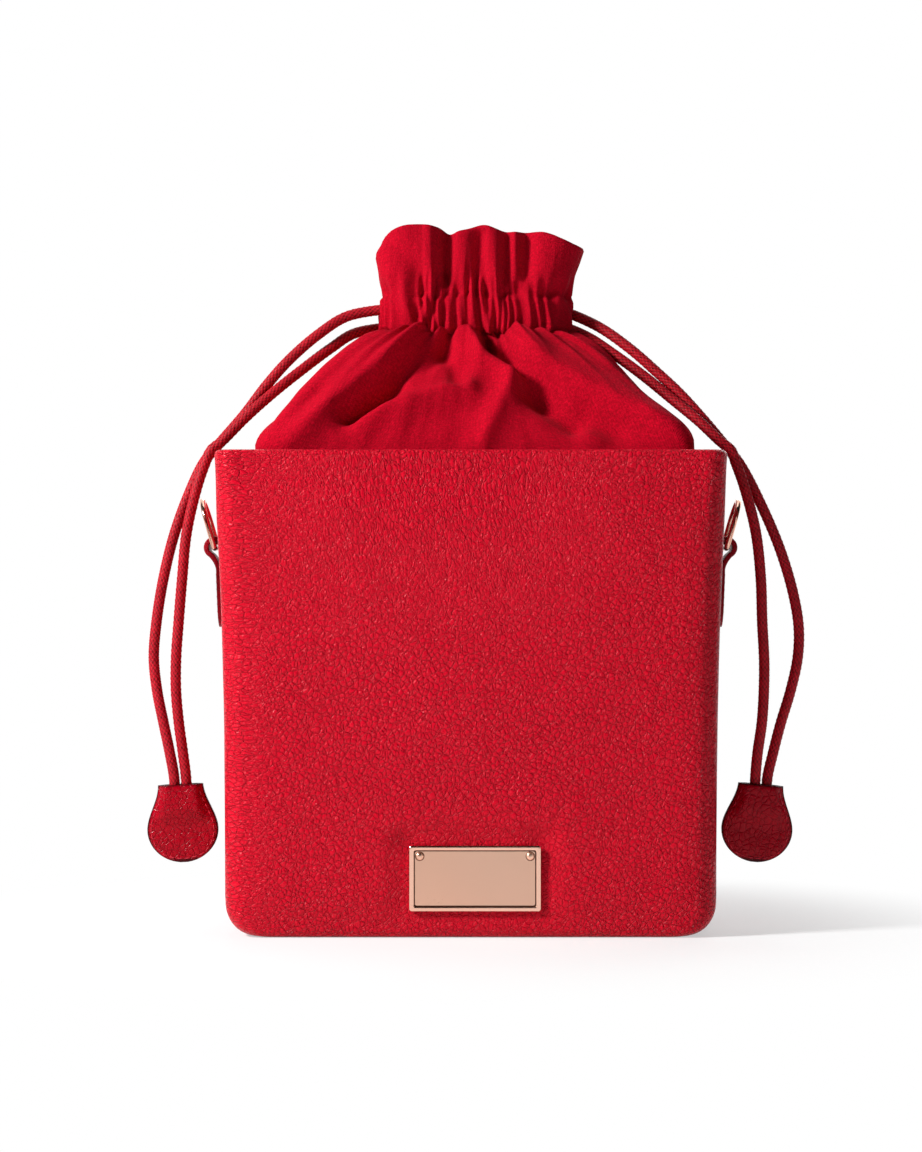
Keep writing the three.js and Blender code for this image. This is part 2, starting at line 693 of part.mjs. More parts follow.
function addGatheredTop() {
  const columns = Array.from({ length: topColumns }, (_, column) => column / topColumns);
  const grid = topRows().map((row) => columns.map((u) => row(u)));
  const outside = grid.map((row) => row.map((place) => place.outside));
  const inside = grid.map((row) => row.map((place) => place.inside));
  let top = toManifold(sheetSolid(outside, inside, { wrap: true }));
  for (const route of Object.values(cordRoutes)) {
    top = top.subtract(toManifold(cordTube(route, cordRadius + clearance)));
  }
  addMesh('gathered_top', fromManifold(top), materials.fabric);
}

// Fobs: two leather pieces sewn together, swelling over the two cord ends between them

const fobTopHeight = 58;
const fobDepthPlace = -22;
const fobPlaces = { left: [-114.8, 3], right: [114.8, -5] };

function fobHalfWidthAt(share) {
  if (share < fobWidest) return mix(fobTopHalfWidth, fobHalfWidth, smooth(share / fobWidest));
  const past = (share - fobWidest) / (1 - fobWidest);
  return Math.max(fobHalfWidth * Math.sqrt(1 - past * past), 1.6);
}

function fobSheet(side) {
  const shares = [0, 0.25, 0.42, 0.58, 0.74, 0.87, 0.96, 1];
  const across = 6;
  const pocket = cordRadius + clearance;
  const surface = (extra) => shares.map((share) => {
    const half = fobHalfWidthAt(share);
    const depth = share * fobHeight;
    const fade = 1 - smooth((depth - fobPocketDepth) / (fobPocketFade - fobPocketDepth));
    const row = [];
    for (let step = 0; step <= across; step += 1) {
      const x = mix(-half, half, step / across);
      const flank = clamp01((half - Math.abs(x)) / (half - 2 * cordRadius - 2 * clearance));
      const swell = pocket * fade * Math.min(1, 1.15 * flank);
      row.push(new THREE.Vector3(x, side * (clearance / 2 + swell + extra), -depth));
    }
    return row;
  });
  return sheetSolid(surface(fobLeather), surface(0));
}

function addFobs() {
  for (const [name, [x, tilt]] of Object.entries(fobPlaces)) {
    const fob = new THREE.Group();
    fob.position.set(x, fobDepthPlace, fobTopHeight);
    fob.rotation.y = THREE.MathUtils.degToRad(-tilt);
    bag.add(fob);
    addMesh(`${name}_fob_front`, fobSheet(-1), materials.fobLeather, fob);
    addMesh(`${name}_fob_back`, fobSheet(1), materials.fobLeather, fob);
  }
}

// Side tabs: a strap folded round the bar of a ring, lying on the side wall

const loopRadius = loopBore + tabLeather;
const loopMiddle = loopBore + tabLeather / 2;

function tabCentreline() {
  const points = [[tabLeather / 2, -tabLength], [tabLeather / 2, -loopRadius]];
  for (let degrees = 180; degrees >= -60; degrees -= 30) {
    const turn = THREE.MathUtils.degToRad(degrees);
    points.push([loopRadius + loopMiddle * Math.cos(turn), loopMiddle * Math.sin(turn)]);
  }
  const outerLayer = 1.5 * tabLeather + clearance;
  points.push([outerLayer + 1, -1.25 * loopRadius]);
  points.push([outerLayer, -1.9 * loopRadius]);
  points.push([outerLayer, -tabLength]);
  return points.map(([x, z]) => new THREE.Vector2(x, z));
}

function tabGeometry() {
  const line = tabCentreline();
  const edge = (side) => line.map((point, at) => {
    const before = line[Math.max(at - 1, 0)];
    const after = line[Math.min(at + 1, line.length - 1)];
    const along = after.clone().sub(before).normalize();
    const reach = side * tabLeather / 2;
    return new THREE.Vector2(point.x - along.y * reach, point.y + along.x * reach);
  });
  const shape = new THREE.Shape([...edge(1), ...edge(-1).reverse()]);
  const strap = new THREE.ExtrudeGeometry(shape, { depth: tabWidth, bevelEnabled: false });
  return strap.translate(0, 0, -tabWidth / 2).rotateX(Math.PI / 2);
}

// A closed band: a section of [outward, sideways] points swept round a flat closed path
function sweptBand(path, section) {
  const points = [];
  const triangles = [];
  path.forEach((point, at) => {
    const before = path[(at + path.length - 1) % path.length];
    const after = path[(at + 1) % path.length];
    const along = after.clone().sub(before).normalize();
    for (const [out, side] of section) {
      points.push(new THREE.Vector3(side, point.x + along.y * out, point.y - along.x * out));
    }
  });
  const place = (at, corner) => (at % path.length) * section.length + (corner % section.length);
  for (let at = 0; at < path.length; at += 1) {
    for (let corner = 0; corner < section.length; corner += 1) {
      const [a, b] = [place(at, corner), place(at + 1, corner)];
      const [c, d] = [place(at + 1, corner + 1), place(at, corner + 1)];
      triangles.push([a, b, c], [a, c, d]);
    }
  }
  return geometryFrom(points, triangles);
}

function arcPoints(centreX, centreY, radius, from, to, steps) {
  return Array.from({ length: steps + 1 }, (_, step) => {
    const turn = THREE.MathUtils.degToRad(mix(from, to, step / steps));
    return new THREE.Vector2(centreX + radius * Math.cos(turn), centreY + radius * Math.sin(turn));
  });
}

function ringGeometry() {
  const halfMiddle = tabWidth / 2 + 1.4 * clearance + ringBand / 2;
  const arcCentre = ringHeight - ringBand - halfMiddle;
  const path = [
    ...arcPoints(halfMiddle - ringCorner, ringCorner, ringCorner, -90, 0, 3),
    ...arcPoints(0, arcCentre, halfMiddle, 0, 180, 16),
    ...arcPoints(ringCorner - halfMiddle, ringCorner, ringCorner, 180, 270, 3),
  ];
  const [wide, thick, cut] = [ringBand / 2, ringThickness / 2, ringBevel];
  const section = [
    [wide, cut - thick], [wide, thick - cut], [wide - cut, thick], [cut - wide, thick],
    [-wide, thick - cut], [-wide, cut - thick], [cut - wide, -thick], [wide - cut, -thick],
  ];
  return sweptBand(path, section);
}

function addSideRings() {
  const top = bodyHalfSizes(hingeHeight).width;
  const foot = bodyHalfSizes(hingeHeight - tabLength).width;
  const wallLean = Math.atan2(top - foot, tabLength);
  for (const [name, side] of [['left', -1], ['right', 1]]) {
    const half = new THREE.Group();
    half.rotation.z = side > 0 ? 0 : Math.PI;
    bag.add(half);
    const tabPlace = new THREE.Group();
    tabPlace.position.set(top + clearance, 0, hingeHeight);
    tabPlace.rotation.y = wallLean;
    half.add(tabPlace);
    addMesh(`${name}_ring_tab`, tabGeometry(), materials.tabLeather, tabPlace);
    const ringPlace = new THREE.Group();
    ringPlace.position.set(loopRadius, 0, 0);
    ringPlace.rotation.y = THREE.MathUtils.degToRad(ringLean) - wallLean;
    tabPlace.add(ringPlace);
    addMesh(`${name}_d_ring`, ringGeometry(), materials.roseGold, ringPlace);
  }
}

// Name plate: a blank plate with a raised border, held by two domed pins

function plateGeometry() {
  const outline = roundedRectangle(plateWidth / 2, plateHeight / 2, 1);
  const backLayer = new THREE.ExtrudeGeometry(outline, {
    depth: plateThickness - plateRecess,
    bevelEnabled: false,
    curveSegments: 3,
  });
  const frame = roundedRectangle(plateWidth / 2, plateHeight / 2, 1);
  frame.holes.push(roundedRectangle(plateWidth / 2 - plateBorder, plateHeight / 2 - plateBorder, 0.6));
  const border = new THREE.ExtrudeGeometry(frame, {
    depth: plateThickness,
    bevelEnabled: false,
    curveSegments: 3,
  });
  return fromManifold(toManifold(backLayer).add(toManifold(border)));
}

function addPlate() {
  const plate = new THREE.Group();
  const wall = bodyHalfSizes(plateCentreZ + plateHeight / 2).depth;
  plate.position.set(plateCentreX, -wall - clearance, plateCentreZ);
  plate.rotation.x = Math.PI / 2;
  bag.add(plate);
  addMesh('name_plate', plateGeometry(), materials.roseGold, plate);
  for (const [name, side] of [['left', -1], ['right', 1]]) {
    const dome = new THREE.LatheGeometry([
      new THREE.Vector2(0, 0),
      new THREE.Vector2(pinRadius, 0),
      new THREE.Vector2(pinRadius * 0.85, pinHeight * 0.6),
      new THREE.Vector2(pinRadius * 0.45, pinHeight * 0.92),
      new THREE.Vector2(0, pinHeight),
    ], 12);
    dome.rotateX(Math.PI / 2);
    const pin = addMesh(`${name}_plate_pin`, dome, materials.roseGold, plate);
    pin.position.set(
      side * (plateWidth / 2 - pinInset),
      plateHeight / 2 - pinBelowTop,
      plateThickness - plateRecess + clearance,
    );
  }
}

addLeather();
addStiffening();
addLining();
addCords();
addGatheredTop();
addFobs();
addSideRings();
addPlate();

export default bag;
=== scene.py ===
import math

import bpy
import numpy as np
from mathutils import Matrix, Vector


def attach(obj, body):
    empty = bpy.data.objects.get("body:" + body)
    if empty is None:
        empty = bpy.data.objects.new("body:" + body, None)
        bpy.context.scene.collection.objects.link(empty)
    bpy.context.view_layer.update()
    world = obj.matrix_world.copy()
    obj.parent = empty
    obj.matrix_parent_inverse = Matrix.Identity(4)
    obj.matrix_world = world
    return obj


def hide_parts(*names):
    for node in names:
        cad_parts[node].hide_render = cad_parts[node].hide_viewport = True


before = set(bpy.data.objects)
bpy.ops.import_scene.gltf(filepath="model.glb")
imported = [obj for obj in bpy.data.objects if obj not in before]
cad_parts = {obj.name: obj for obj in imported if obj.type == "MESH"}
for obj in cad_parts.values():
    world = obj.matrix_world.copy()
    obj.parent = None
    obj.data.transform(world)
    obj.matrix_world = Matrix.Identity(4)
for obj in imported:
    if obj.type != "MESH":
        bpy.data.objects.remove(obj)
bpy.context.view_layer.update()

MM = 0.001
ROOT = "root"

# Sizes of the box, in millimetres as in the part's source
BODY_HEIGHT = 189.5
BASE_WIDTH, RIM_WIDTH = 190.4, 200.0
BASE_DEPTH, RIM_DEPTH = 95.0, 100.0
FLARE_POWER = 2.8
EDGE_RADIUS = 8.0
END_BOTTOM_RADIUS, FACE_BOTTOM_RADIUS = 12.0, 4.0
LEATHER = 1.2
BOARD = 1.5
CLEAR = 0.3
BOTTOM_TURN_IN = 8.0
RIM_TURN_DOWN = 19.5
RIM_THICKNESS = 2 * LEATHER + BOARD + 2 * CLEAR
RIM_RADIUS = RIM_THICKNESS / 2

# Gathered top
FABRIC = 0.8
SEAM_HEIGHT = BODY_HEIGHT - 14.5
HEM_BOTTOM = SEAM_HEIGHT - 6.7
NECK_HEIGHT = 236.5
CHANNEL_HEIGHT = 16.3
CHANNEL_TOP = NECK_HEIGHT + CHANNEL_HEIGHT
SLOPE_BULGE = 1.75
FOLD_DEPTH = 1.5
NECK_X = 1.6
LOOP_HALF_WIDTH, LOOP_HALF_DEPTH = 34.0, 11.0
STITCH_HALF = 0.9
PLEATS, PLEAT_HEIGHT, PLEAT_SLANT = 25, 3.2, 0.03
RUFFLE_HEIGHT, RUFFLE_HALF = 24.5, 0.9
RUFFLE_FLARE_FRONT, RUFFLE_FLARE_LEFT, RUFFLE_FLARE_RIGHT = 2.4, 5.0, 8.4
RUFFLE_CURL_LEFT, RUFFLE_DROP_LEFT, RUFFLE_DROP_RIGHT = 4.0, 2.5, 5.5

# Cords, fobs, tabs, rings and plate
CORD_RADIUS = 2.2
CORD_LEVEL_GAP = 6.8
FOB_HEIGHT, FOB_TOP_HALF, FOB_HALF, FOB_WIDEST = 30.8, 8.9, 14.0, 0.58
FOB_LEATHER, FOB_POCKET_DEPTH, FOB_POCKET_FADE = 1.5, 9.0, 18.0
FOB_TOP, FOB_DEPTH_PLACE = 58.0, -22.0
FOB_PLACES = {"left": (-114.8, 3.0), "right": (114.8, -5.0)}
HINGE_HEIGHT = 152.0
TAB_LEATHER, TAB_LENGTH, TAB_WIDTH, LOOP_BORE = 2.0, 32.0, 16.0, 2.4
RING_BAND, RING_THICKNESS, RING_HEIGHT, RING_CORNER, RING_LEAN = 2.6, 2.2, 22.0, 2.0, 16.0
PLATE_WIDTH, PLATE_HEIGHT, PLATE_THICKNESS = 51.0, 25.4, 1.6
PLATE_BORDER, PLATE_RECESS = 1.8, 0.5
PLATE_X, PLATE_Z = 1.6, 23.3
PIN_RADIUS, PIN_HEIGHT, PIN_INSET, PIN_BELOW_TOP = 1.45, 0.7, 4.1, 4.1

# How finely the scene's own meshes are divided; steps of a line in millimetres
TOP_COLUMNS, SLOPE_ROWS, CHANNEL_ROWS, RUFFLE_ROWS = 440, 56, 20, 32
SIDE_STEPS, CORNER_STEPS, FACE_STEPS = 28, 9, 130
CORD_SIDES, CORD_STEP = 40, 0.5
FOB_ROWS, FOB_COLUMNS = 48, 41
STITCH_RINGS, STITCH_SIDES = 7, 8
RING_SIDES, PIN_SIDES, PLATE_CORNER_STEPS = 20, 28, 6

# The cloth's own sizes: millimetres round its weave, metres flat and square metres
CLOTH_AROUND, CLOTH_FLAT, CLOTH_AREA = 590.0, (0.56, 0.135), 0.056

# Fine shape of the cloth and the leather: GATHERS is a count, the rest are millimetres
GATHERS, GATHER_HEIGHT, CHANNEL_GATHER = 43, 1.5, 1.9
STITCH_WANDER = 1.5
PADDING_SWELL, DENT_REACH, DENT_MARGIN = 1.45, 11.0, 0.4
SWELL_END, SWELL_FOOT, SWELL_RIM, SWELL_FACE, SWELL_SIDE = 3.0, 14.0, 26.0, 16.0, 12.0
BROAD_WAVES, SOFT_WAVES = 0.34, 0.16
CREASE_START, CREASE_REACH, CREASE_SPREAD, CREASE_HEIGHT, CORNER_DENT = 1.0, 8.0, 9.0, 0.5, 0.75
SEAM_HALF, SEAM_DEPTH = 1.1, 0.45
STITCH_LENGTH, STITCH_GAP, STITCH_RADIUS = 2.1, 0.9, 0.24
THREAD_INSET = 1.6
PLATE_EDGE, BORDER_EDGE = 0.35, 0.3
BRAID_DEPTH, BRAID_PITCH = 0.34, 2.2

# Shares of the pleats' height outside and inside the channel, lean of the slope's folds in radians,
# and where the ruffle's edge begins as a share of its height
NECK_PLEAT, CHANNEL_PLEAT, INNER_PLEAT = 1.1, 0.6, 0.4
SLOPE_TILT, NECK_TILT = 0.75, 0.4
RUFFLE_EDGE_START = 0.97

# Camera of the photograph: level, in front of the middle of the rim's width
CAMERA_PLACE = (-3.83, -1250.0, 140.4)
FRONT_FACE_WIDTH_SEEN = 356.6
CAMERA_TO_FRONT = 1200.0


# Helpers

def clamp01(t):
    return np.clip(t, 0.0, 1.0)


def smooth(t):
    s = clamp01(t)
    return s * s * (3 - 2 * s)


def mix(a, b, t):
    return a + (b - a) * t


draws = np.random.default_rng(11)
SHUFFLE = draws.permutation(256)
SLOPES = draws.normal(size=(256, 3))
SLOPES /= np.linalg.norm(SLOPES, axis=1)[:, None]


def noise3(x, y, z):
    """Smooth noise from about -1 to 1 at each point."""
    p = np.stack(np.broadcast_arrays(x, y, z), -1)
    cell = np.floor(p).astype(int)
    inside = p - cell
    ease = inside ** 3 * (inside * (inside * 6 - 15) + 10)
    total = np.zeros(p.shape[:-1])
    for corner in ((a, b, c) for a in (0, 1) for b in (0, 1) for c in (0, 1)):
        at = cell + corner
        index = SHUFFLE[at[..., 0] & 255]
        index = SHUFFLE[(index + at[..., 1]) & 255]
        index = SHUFFLE[(index + at[..., 2]) & 255]
        reach = (SLOPES[index] * (inside - corner)).sum(-1)
        total += reach * np.prod(np.where(corner, ease, 1 - ease), axis=-1)
    return 1.5 * total


def make_camera():
    data = bpy.data.cameras.new("camera")
    data.sensor_fit = "HORIZONTAL"
    data.sensor_width = 36.0
    data.lens = 36.0 * CAMERA_TO_FRONT / FRONT_FACE_WIDTH_SEEN
    data.clip_end = 50
    camera = bpy.data.objects.new("camera", data)
    bpy.context.scene.collection.objects.link(camera)
    camera.location = Vector(CAMERA_PLACE) * MM
    camera.rotation_euler = (math.pi / 2, 0, 0)
    bpy.context.scene.camera = camera


def link_mesh(name, points, faces, material, uvs=None):
    """A mesh object from points in millimetres."""
    mesh = bpy.data.meshes.new(name)
    mesh.from_pydata((np.asarray(points, float) * MM).tolist(), [], faces)
    mesh.validate()
    if uvs is not None:
        layer = mesh.uv_layers.new(name="cloth")
        index = np.zeros(len(mesh.loops), int)
        mesh.loops.foreach_get("vertex_index", index)
        layer.data.foreach_set("uv", (np.asarray(uvs, float)[index] * MM).ravel())
    mesh.polygons.foreach_set("use_smooth", [True] * len(mesh.polygons))
    obj = bpy.data.objects.new(name, mesh)
    bpy.context.scene.collection.objects.link(obj)
    mesh.materials.append(material)
    return obj


def sheet_faces(rows, columns, wrap):
    """Faces of a closed sheet: an outside grid, an inside grid and their joined edges."""
    out = np.arange(rows * columns).reshape(rows, columns)
    if wrap:
        out = np.concatenate([out, out[:, :1]], 1)
    inn = out + rows * columns
    strips = [(out[:-1, :-1], out[:-1, 1:], out[1:, 1:], out[1:, :-1]),
              (inn[:-1, :-1], inn[1:, :-1], inn[1:, 1:], inn[:-1, 1:]),
              (out[0, :-1], inn[0, :-1], inn[0, 1:], out[0, 1:]),
              (out[-1, :-1], out[-1, 1:], inn[-1, 1:], inn[-1, :-1])]
    if not wrap:
        strips += [(out[:-1, 0], out[1:, 0], inn[1:, 0], inn[:-1, 0]),
                   (out[:-1, -1], inn[:-1, -1], inn[1:, -1], out[1:, -1])]
    return np.concatenate([np.stack(strip, -1).reshape(-1, 4) for strip in strips]).tolist()


def paint(obj, layer_name, values):
    """A grey value at each point, for the material to read."""
    layer = obj.data.color_attributes.new(layer_name, "FLOAT_COLOR", "POINT")
    layer.data.foreach_set("color", np.repeat(np.asarray(values, float).reshape(-1, 1), 4, 1).ravel())


def length_along(line):
    """How far along a line each of its points is."""
    return np.concatenate([[0], np.cumsum(np.linalg.norm(np.diff(line, axis=0), axis=1))])


def signed_volume(points, faces):
    p = np.asarray(points, float)
    total = 0.0
    for face in faces:
        for step in range(1, len(face) - 1):
            total += np.dot(p[face[0]], np.cross(p[face[step]], p[face[step + 1]]))
    return total


def facing_out(points, faces):
    if signed_volume(points, faces) < 0:
        return [tuple(reversed(face)) for face in faces]
    return faces


def sheet_object(name, outside, inside, material, wrap=False, uvs=None):
    rows, columns = outside.shape[:2]
    points = np.concatenate([outside.reshape(-1, 3), inside.reshape(-1, 3)])
    faces = facing_out(points, sheet_faces(rows, columns, wrap))
    both = None if uvs is None else np.concatenate([uvs.reshape(-1, 2)] * 2)
    return link_mesh(name, points, faces, material, both)


def tube_faces(count, around, closed=False, first=0):
    """Faces of a tube of rings of points, capped at both ends or closed on itself."""
    faces = []
    for at in range(count if closed else count - 1):
        ring, after = first + at * around, first + (at + 1) % count * around
        for corner in range(around):
            beside = (corner + 1) % around
            faces.append((ring + corner, after + corner, after + beside, ring + beside))
    if not closed:
        faces.append(tuple(first + corner for corner in range(around)))
        faces.append(tuple(first + count * around - 1 - corner for corner in range(around)))
    return faces


def tube_object(name, rings, material, closed=False):
    points = rings.reshape(-1, 3)
    faces = tube_faces(*rings.shape[:2], closed)
    return link_mesh(name, points, facing_out(points, faces), material)


def catmull_rom(points, spacing):
    """Points at even spacing on a centripetal curve through the given points."""
    p = np.asarray(points, float)
    p = np.concatenate([[2 * p[0] - p[1]], p, [2 * p[-1] - p[-2]]])
    samples = []

    def between(low, start, high, end):
        """The point at t, on the way from start at low to end at high."""
        return ((high - t) * start + (t - low) * end) / (high - low)

    for p0, p1, p2, p3 in zip(p, p[1:], p[2:], p[3:]):
        t1 = np.linalg.norm(p1 - p0) ** 0.5
        t2 = t1 + np.linalg.norm(p2 - p1) ** 0.5
        t3 = t2 + np.linalg.norm(p3 - p2) ** 0.5
        t = np.linspace(t1, t2, 24, endpoint=False)[:, None]
        a2 = between(t1, p1, t2, p2)
        b1 = between(0, between(0, p0, t1, p1), t2, a2)
        b2 = between(t1, a2, t3, between(t2, p2, t3, p3))
        samples.append(between(t1, b1, t2, b2))
    line = np.concatenate(samples + [p[-2:-1]])
    length = length_along(line)
    even = np.linspace(0, length[-1], int(round(length[-1] / spacing)) + 1)
    return np.stack([np.interp(even, length, line[:, axis]) for axis in range(3)], 1)


def path_frames(line):
    """Two directions across each point of a line, turned as little as possible along it."""
    tangent = np.gradient(line, axis=0)
    tangent /= np.linalg.norm(tangent, axis=1)[:, None]
    across = np.cross(tangent[0], [0.3, 1, 0.2])
    across /= np.linalg.norm(across)
    first, second = [], []
    for direction in tangent:
        across = across - direction * np.dot(across, direction)
        across /= np.linalg.norm(across)
        first.append(across)
        second.append(np.cross(direction, across))
    return np.array(first), np.array(second)


# Materials

class Nodes:
    """Short calls to build a node tree."""

    def __init__(self, tree):
        self.tree = tree

    def link(self, source, target):
        self.tree.links.new(source, target)

    def fill(self, socket, value):
        """Give a socket a link, a color or a plain value."""
        if isinstance(value, bpy.types.NodeSocket):
            self.link(value, socket)
        elif socket.type == "RGBA" and len(value) == 3:
            socket.default_value = (*value, 1)
        else:
            socket.default_value = value

    def node(self, kind, inputs=None, **settings):
        item = self.tree.nodes.new(kind)
        for key, value in settings.items():
            setattr(item, key, value)
        for key, value in (inputs or {}).items():
            self.fill(item.inputs[key], value)
        return item

    def math(self, operation, *values):
        return self.node("ShaderNodeMath", dict(enumerate(values)), operation=operation).outputs[0]

    def times(self, first, *others):
        for other in others:
            first = self.math("MULTIPLY", first, other)
        return first

    def total(self, *parts):
        """The sum of values, each times its weight."""
        whole = 0.0
        for value, weight in parts:
            whole = self.math("MULTIPLY_ADD", value, weight, whole)
        return whole


class Shader(Nodes):
    """Short calls to build a material."""

    def __init__(self, name):
        self.material = bpy.data.materials.new(name)
        self.material.use_nodes = True
        super().__init__(self.material.node_tree)
        self.tree.nodes.clear()
        self.output = self.tree.nodes.new("ShaderNodeOutputMaterial")
        self.main = self.tree.nodes.new("ShaderNodeBsdfPrincipled")
        self.link(self.main.outputs[0], self.output.inputs["Surface"])

    def coords(self, kind="Object", scale=(1, 1, 1)):
        place = self.node("ShaderNodeTexCoord").outputs[kind]
        return self.node("ShaderNodeMapping", {"Vector": place, "Scale": scale}).outputs[0]

    def painted(self, layer):
        """The grey value that paint() gave each point."""
        color = self.node("ShaderNodeVertexColor", layer_name=layer).outputs[0]
        return self.node("ShaderNodeSeparateColor", {0: color}).outputs[0]

    def noise(self, vector, scale, detail=3.0, roughness=0.5, distortion=0.0):
        values = {"Vector": vector, "Scale": scale, "Detail": detail, "Roughness": roughness,
                  "Distortion": distortion}
        return self.node("ShaderNodeTexNoise", values)

    def ramp(self, value, low, high, to_low=0.0, to_high=1.0):
        values = {"Value": value, "From Min": low, "From Max": high, "To Min": to_low, "To Max": to_high}
        return self.node("ShaderNodeMapRange", values, interpolation_type="SMOOTHSTEP").outputs[0]

    def blend(self, factor, a, b):
        item = self.node("ShaderNodeMix", {0: factor}, data_type="RGBA")
        self.fill(item.inputs[6], a)
        self.fill(item.inputs[7], b)
        return item.outputs[2]

    def bump(self, height, distance, strength):
        values = {"Height": height, "Distance": distance, "Strength": strength}
        return self.node("ShaderNodeBump", values).outputs[0]

    def set(self, **values):
        names = {"color": "Base Color", "roughness": "Roughness", "metallic": "Metallic",
                 "normal": "Normal", "specular": "Specular IOR Level", "sheen": "Sheen Weight",
                 "sheen_roughness": "Sheen Roughness", "sheen_tint": "Sheen Tint"}
        for key, value in values.items():
            self.fill(self.main.inputs[names[key]], value)
        return self.material


def leather_material(name, color, deep, cell=500.0, depth=0.00066, regions=False, gloss=0.0):
    """Pebbled leather: soft uneven cells between broken creases. With regions, as on the box, the cells
    are long and upright in the middle under the rim and flat along the left edge."""
    s = Shader(name)
    place = s.coords()
    bent = place
    for scale, reach in ((110.0, 0.0030), (cell * 1.1, 0.0006)):
        warp = s.noise(place, scale, 2.0, 0.6).outputs["Color"]
        shift = s.node("ShaderNodeVectorMath", {0: warp, 1: (0.5, 0.5, 0.5)}, operation="SUBTRACT").outputs[0]
        scaled = s.node("ShaderNodeVectorMath", {0: shift, "Scale": reach}, operation="SCALE").outputs[0]
        bent = s.node("ShaderNodeVectorMath", {0: bent, 1: scaled}, operation="ADD").outputs[0]

    def relief(stretch, tilt):
        turned = s.node("ShaderNodeMapping", {"Vector": bent, "Rotation": (0, tilt, 0)}).outputs[0]
        vector = s.node("ShaderNodeMapping", {"Vector": turned, "Scale": stretch}).outputs[0]
        edge = s.node("ShaderNodeTexVoronoi", {"Vector": vector, "Scale": cell}, feature="DISTANCE_TO_EDGE")
        dome = s.node("ShaderNodeTexVoronoi", {"Vector": vector, "Scale": cell, "Smoothness": 0.6},
                      feature="SMOOTH_F1")
        wrinkle = s.node("ShaderNodeTexNoise",
                         {"Vector": vector, "Scale": cell * 0.75, "Detail": 2.0, "Roughness": 0.45},
                         noise_type="FBM").outputs[0]
        fold = s.math("ABSOLUTE", s.math("SUBTRACT", wrinkle, 0.5))
        cut = s.ramp(edge.outputs["Distance"], 0.01, 0.12)
        soft = s.ramp(dome.outputs["Distance"], 0.75, 0.1)
        return s.total((cut, 0.66), (soft, 0.24), (s.ramp(fold, 0.0, 0.06), 0.26))

    pebble = relief((1.10, 1.0, 0.94), -0.5)
    if regions:
        axes = s.node("ShaderNodeSeparateXYZ", {0: place})
        high = s.ramp(axes.outputs["Z"], 0.10, 0.175)
        middle = s.ramp(s.math("ABSOLUTE", s.math("ADD", axes.outputs["X"], 0.012)), 0.085, 0.02)
        tall = s.times(high, middle)
        left = s.ramp(axes.outputs["X"], -0.070, -0.092)
        for mask, stretch, tilt in ((tall, (1.45, 1.0, 0.56), 0.12), (left, (0.50, 0.6, 1.35), 0.0)):
            pebble = s.total((pebble, s.math("SUBTRACT", 1.0, mask)), (relief(stretch, tilt), mask))

        def past_plate(axis, middle, size):
            off = s.math("ABSOLUTE", s.math("SUBTRACT", axes.outputs[axis], middle * MM))
            return s.math("SUBTRACT", off, size / 2 * MM)

        beside, above = past_plate("X", PLATE_X, PLATE_WIDTH), past_plate("Z", PLATE_Z, PLATE_HEIGHT)
        # Round the plate the relief is calmed, and through the tone below this also darkens the colour there:
        # painted shade of the dent.
        calm = s.ramp(s.math("MAXIMUM", beside, above), 0.002, 0.020, 0.55, 1.0)
        calm = s.math("MAXIMUM", calm, s.math("GREATER_THAN", axes.outputs["Y"], 0.0))
        pebble = s.times(pebble, calm)
    fine = s.noise(place, cell * 4.0, 2.0, 0.6).outputs[0]
    broad = s.noise(place, 100.0, 3.0, 0.6).outputs[0]
    height = s.total((pebble, 1.0), (fine, 0.06), (broad, 0.8))
    cloud = s.noise(place, 22.0, 3.0).outputs[0]
    # Painted shade: the colour darkens where the pebble relief is low, in the creases and round the plate;
    # the cloud adds random tone.
    tone = s.times(s.ramp(pebble, 0.1, 0.9, 0.66, 1.0), s.ramp(cloud, 0.3, 0.7, 0.90, 1.0))
    rough = s.ramp(pebble, 0.2, 1.0, 0.42 - gloss, 0.29 - gloss)
    if gloss:
        tone = s.times(tone, s.math("SUBTRACT", 1.0, s.painted("edge")))
    return s.set(color=s.blend(tone, deep, color), roughness=rough, specular=0.10 if gloss else 0.12,
                 normal=s.bump(height, depth, 1.0))


def fabric_material(name, color, deep, thread=0.0008):
    """Fine plain weave that follows the cloth, with a soft sheen and slubs."""
    s = Shader(name)
    cloth = s.coords("UV")
    axes = s.node("ShaderNodeSeparateXYZ", {0: cloth})
    turn = 2 * math.pi / thread
    weave = s.times(*(s.math("SINE", s.times(axes.outputs[axis], turn)) for axis in ("X", "Y")))
    slub = s.noise(s.coords("UV", (1, 9, 1)), 200.0, 3.0, 0.6).outputs[0]
    rib = s.noise(s.coords("UV", (7, 1, 1)), 160.0, 3.0, 0.6).outputs[0]
    grain = s.noise(cloth, 1000.0, 2.0, 0.7).outputs[0]
    crumple = s.noise(s.coords(), 260.0, 4.0, 0.62, 0.6).outputs[0]
    height = s.total((weave, 0.16), (grain, 0.45), (slub, 0.22), (rib, 0.22), (crumple, 0.9))
    tone = s.times(s.ramp(slub, 0.3, 0.7, 0.70, 1.1), s.ramp(rib, 0.3, 0.7, 0.80, 1.1),
                   s.ramp(grain, 0.32, 0.68, 0.42, 1.0))
    tone = s.total((weave, 0.08), (tone, 1.0))
    return s.set(color=s.blend(tone, deep, color), roughness=0.85, specular=0.06, sheen=0.12,
                 sheen_roughness=0.35, sheen_tint=(1.0, 0.10, 0.16), normal=s.bump(height, 0.00045, 1.0))


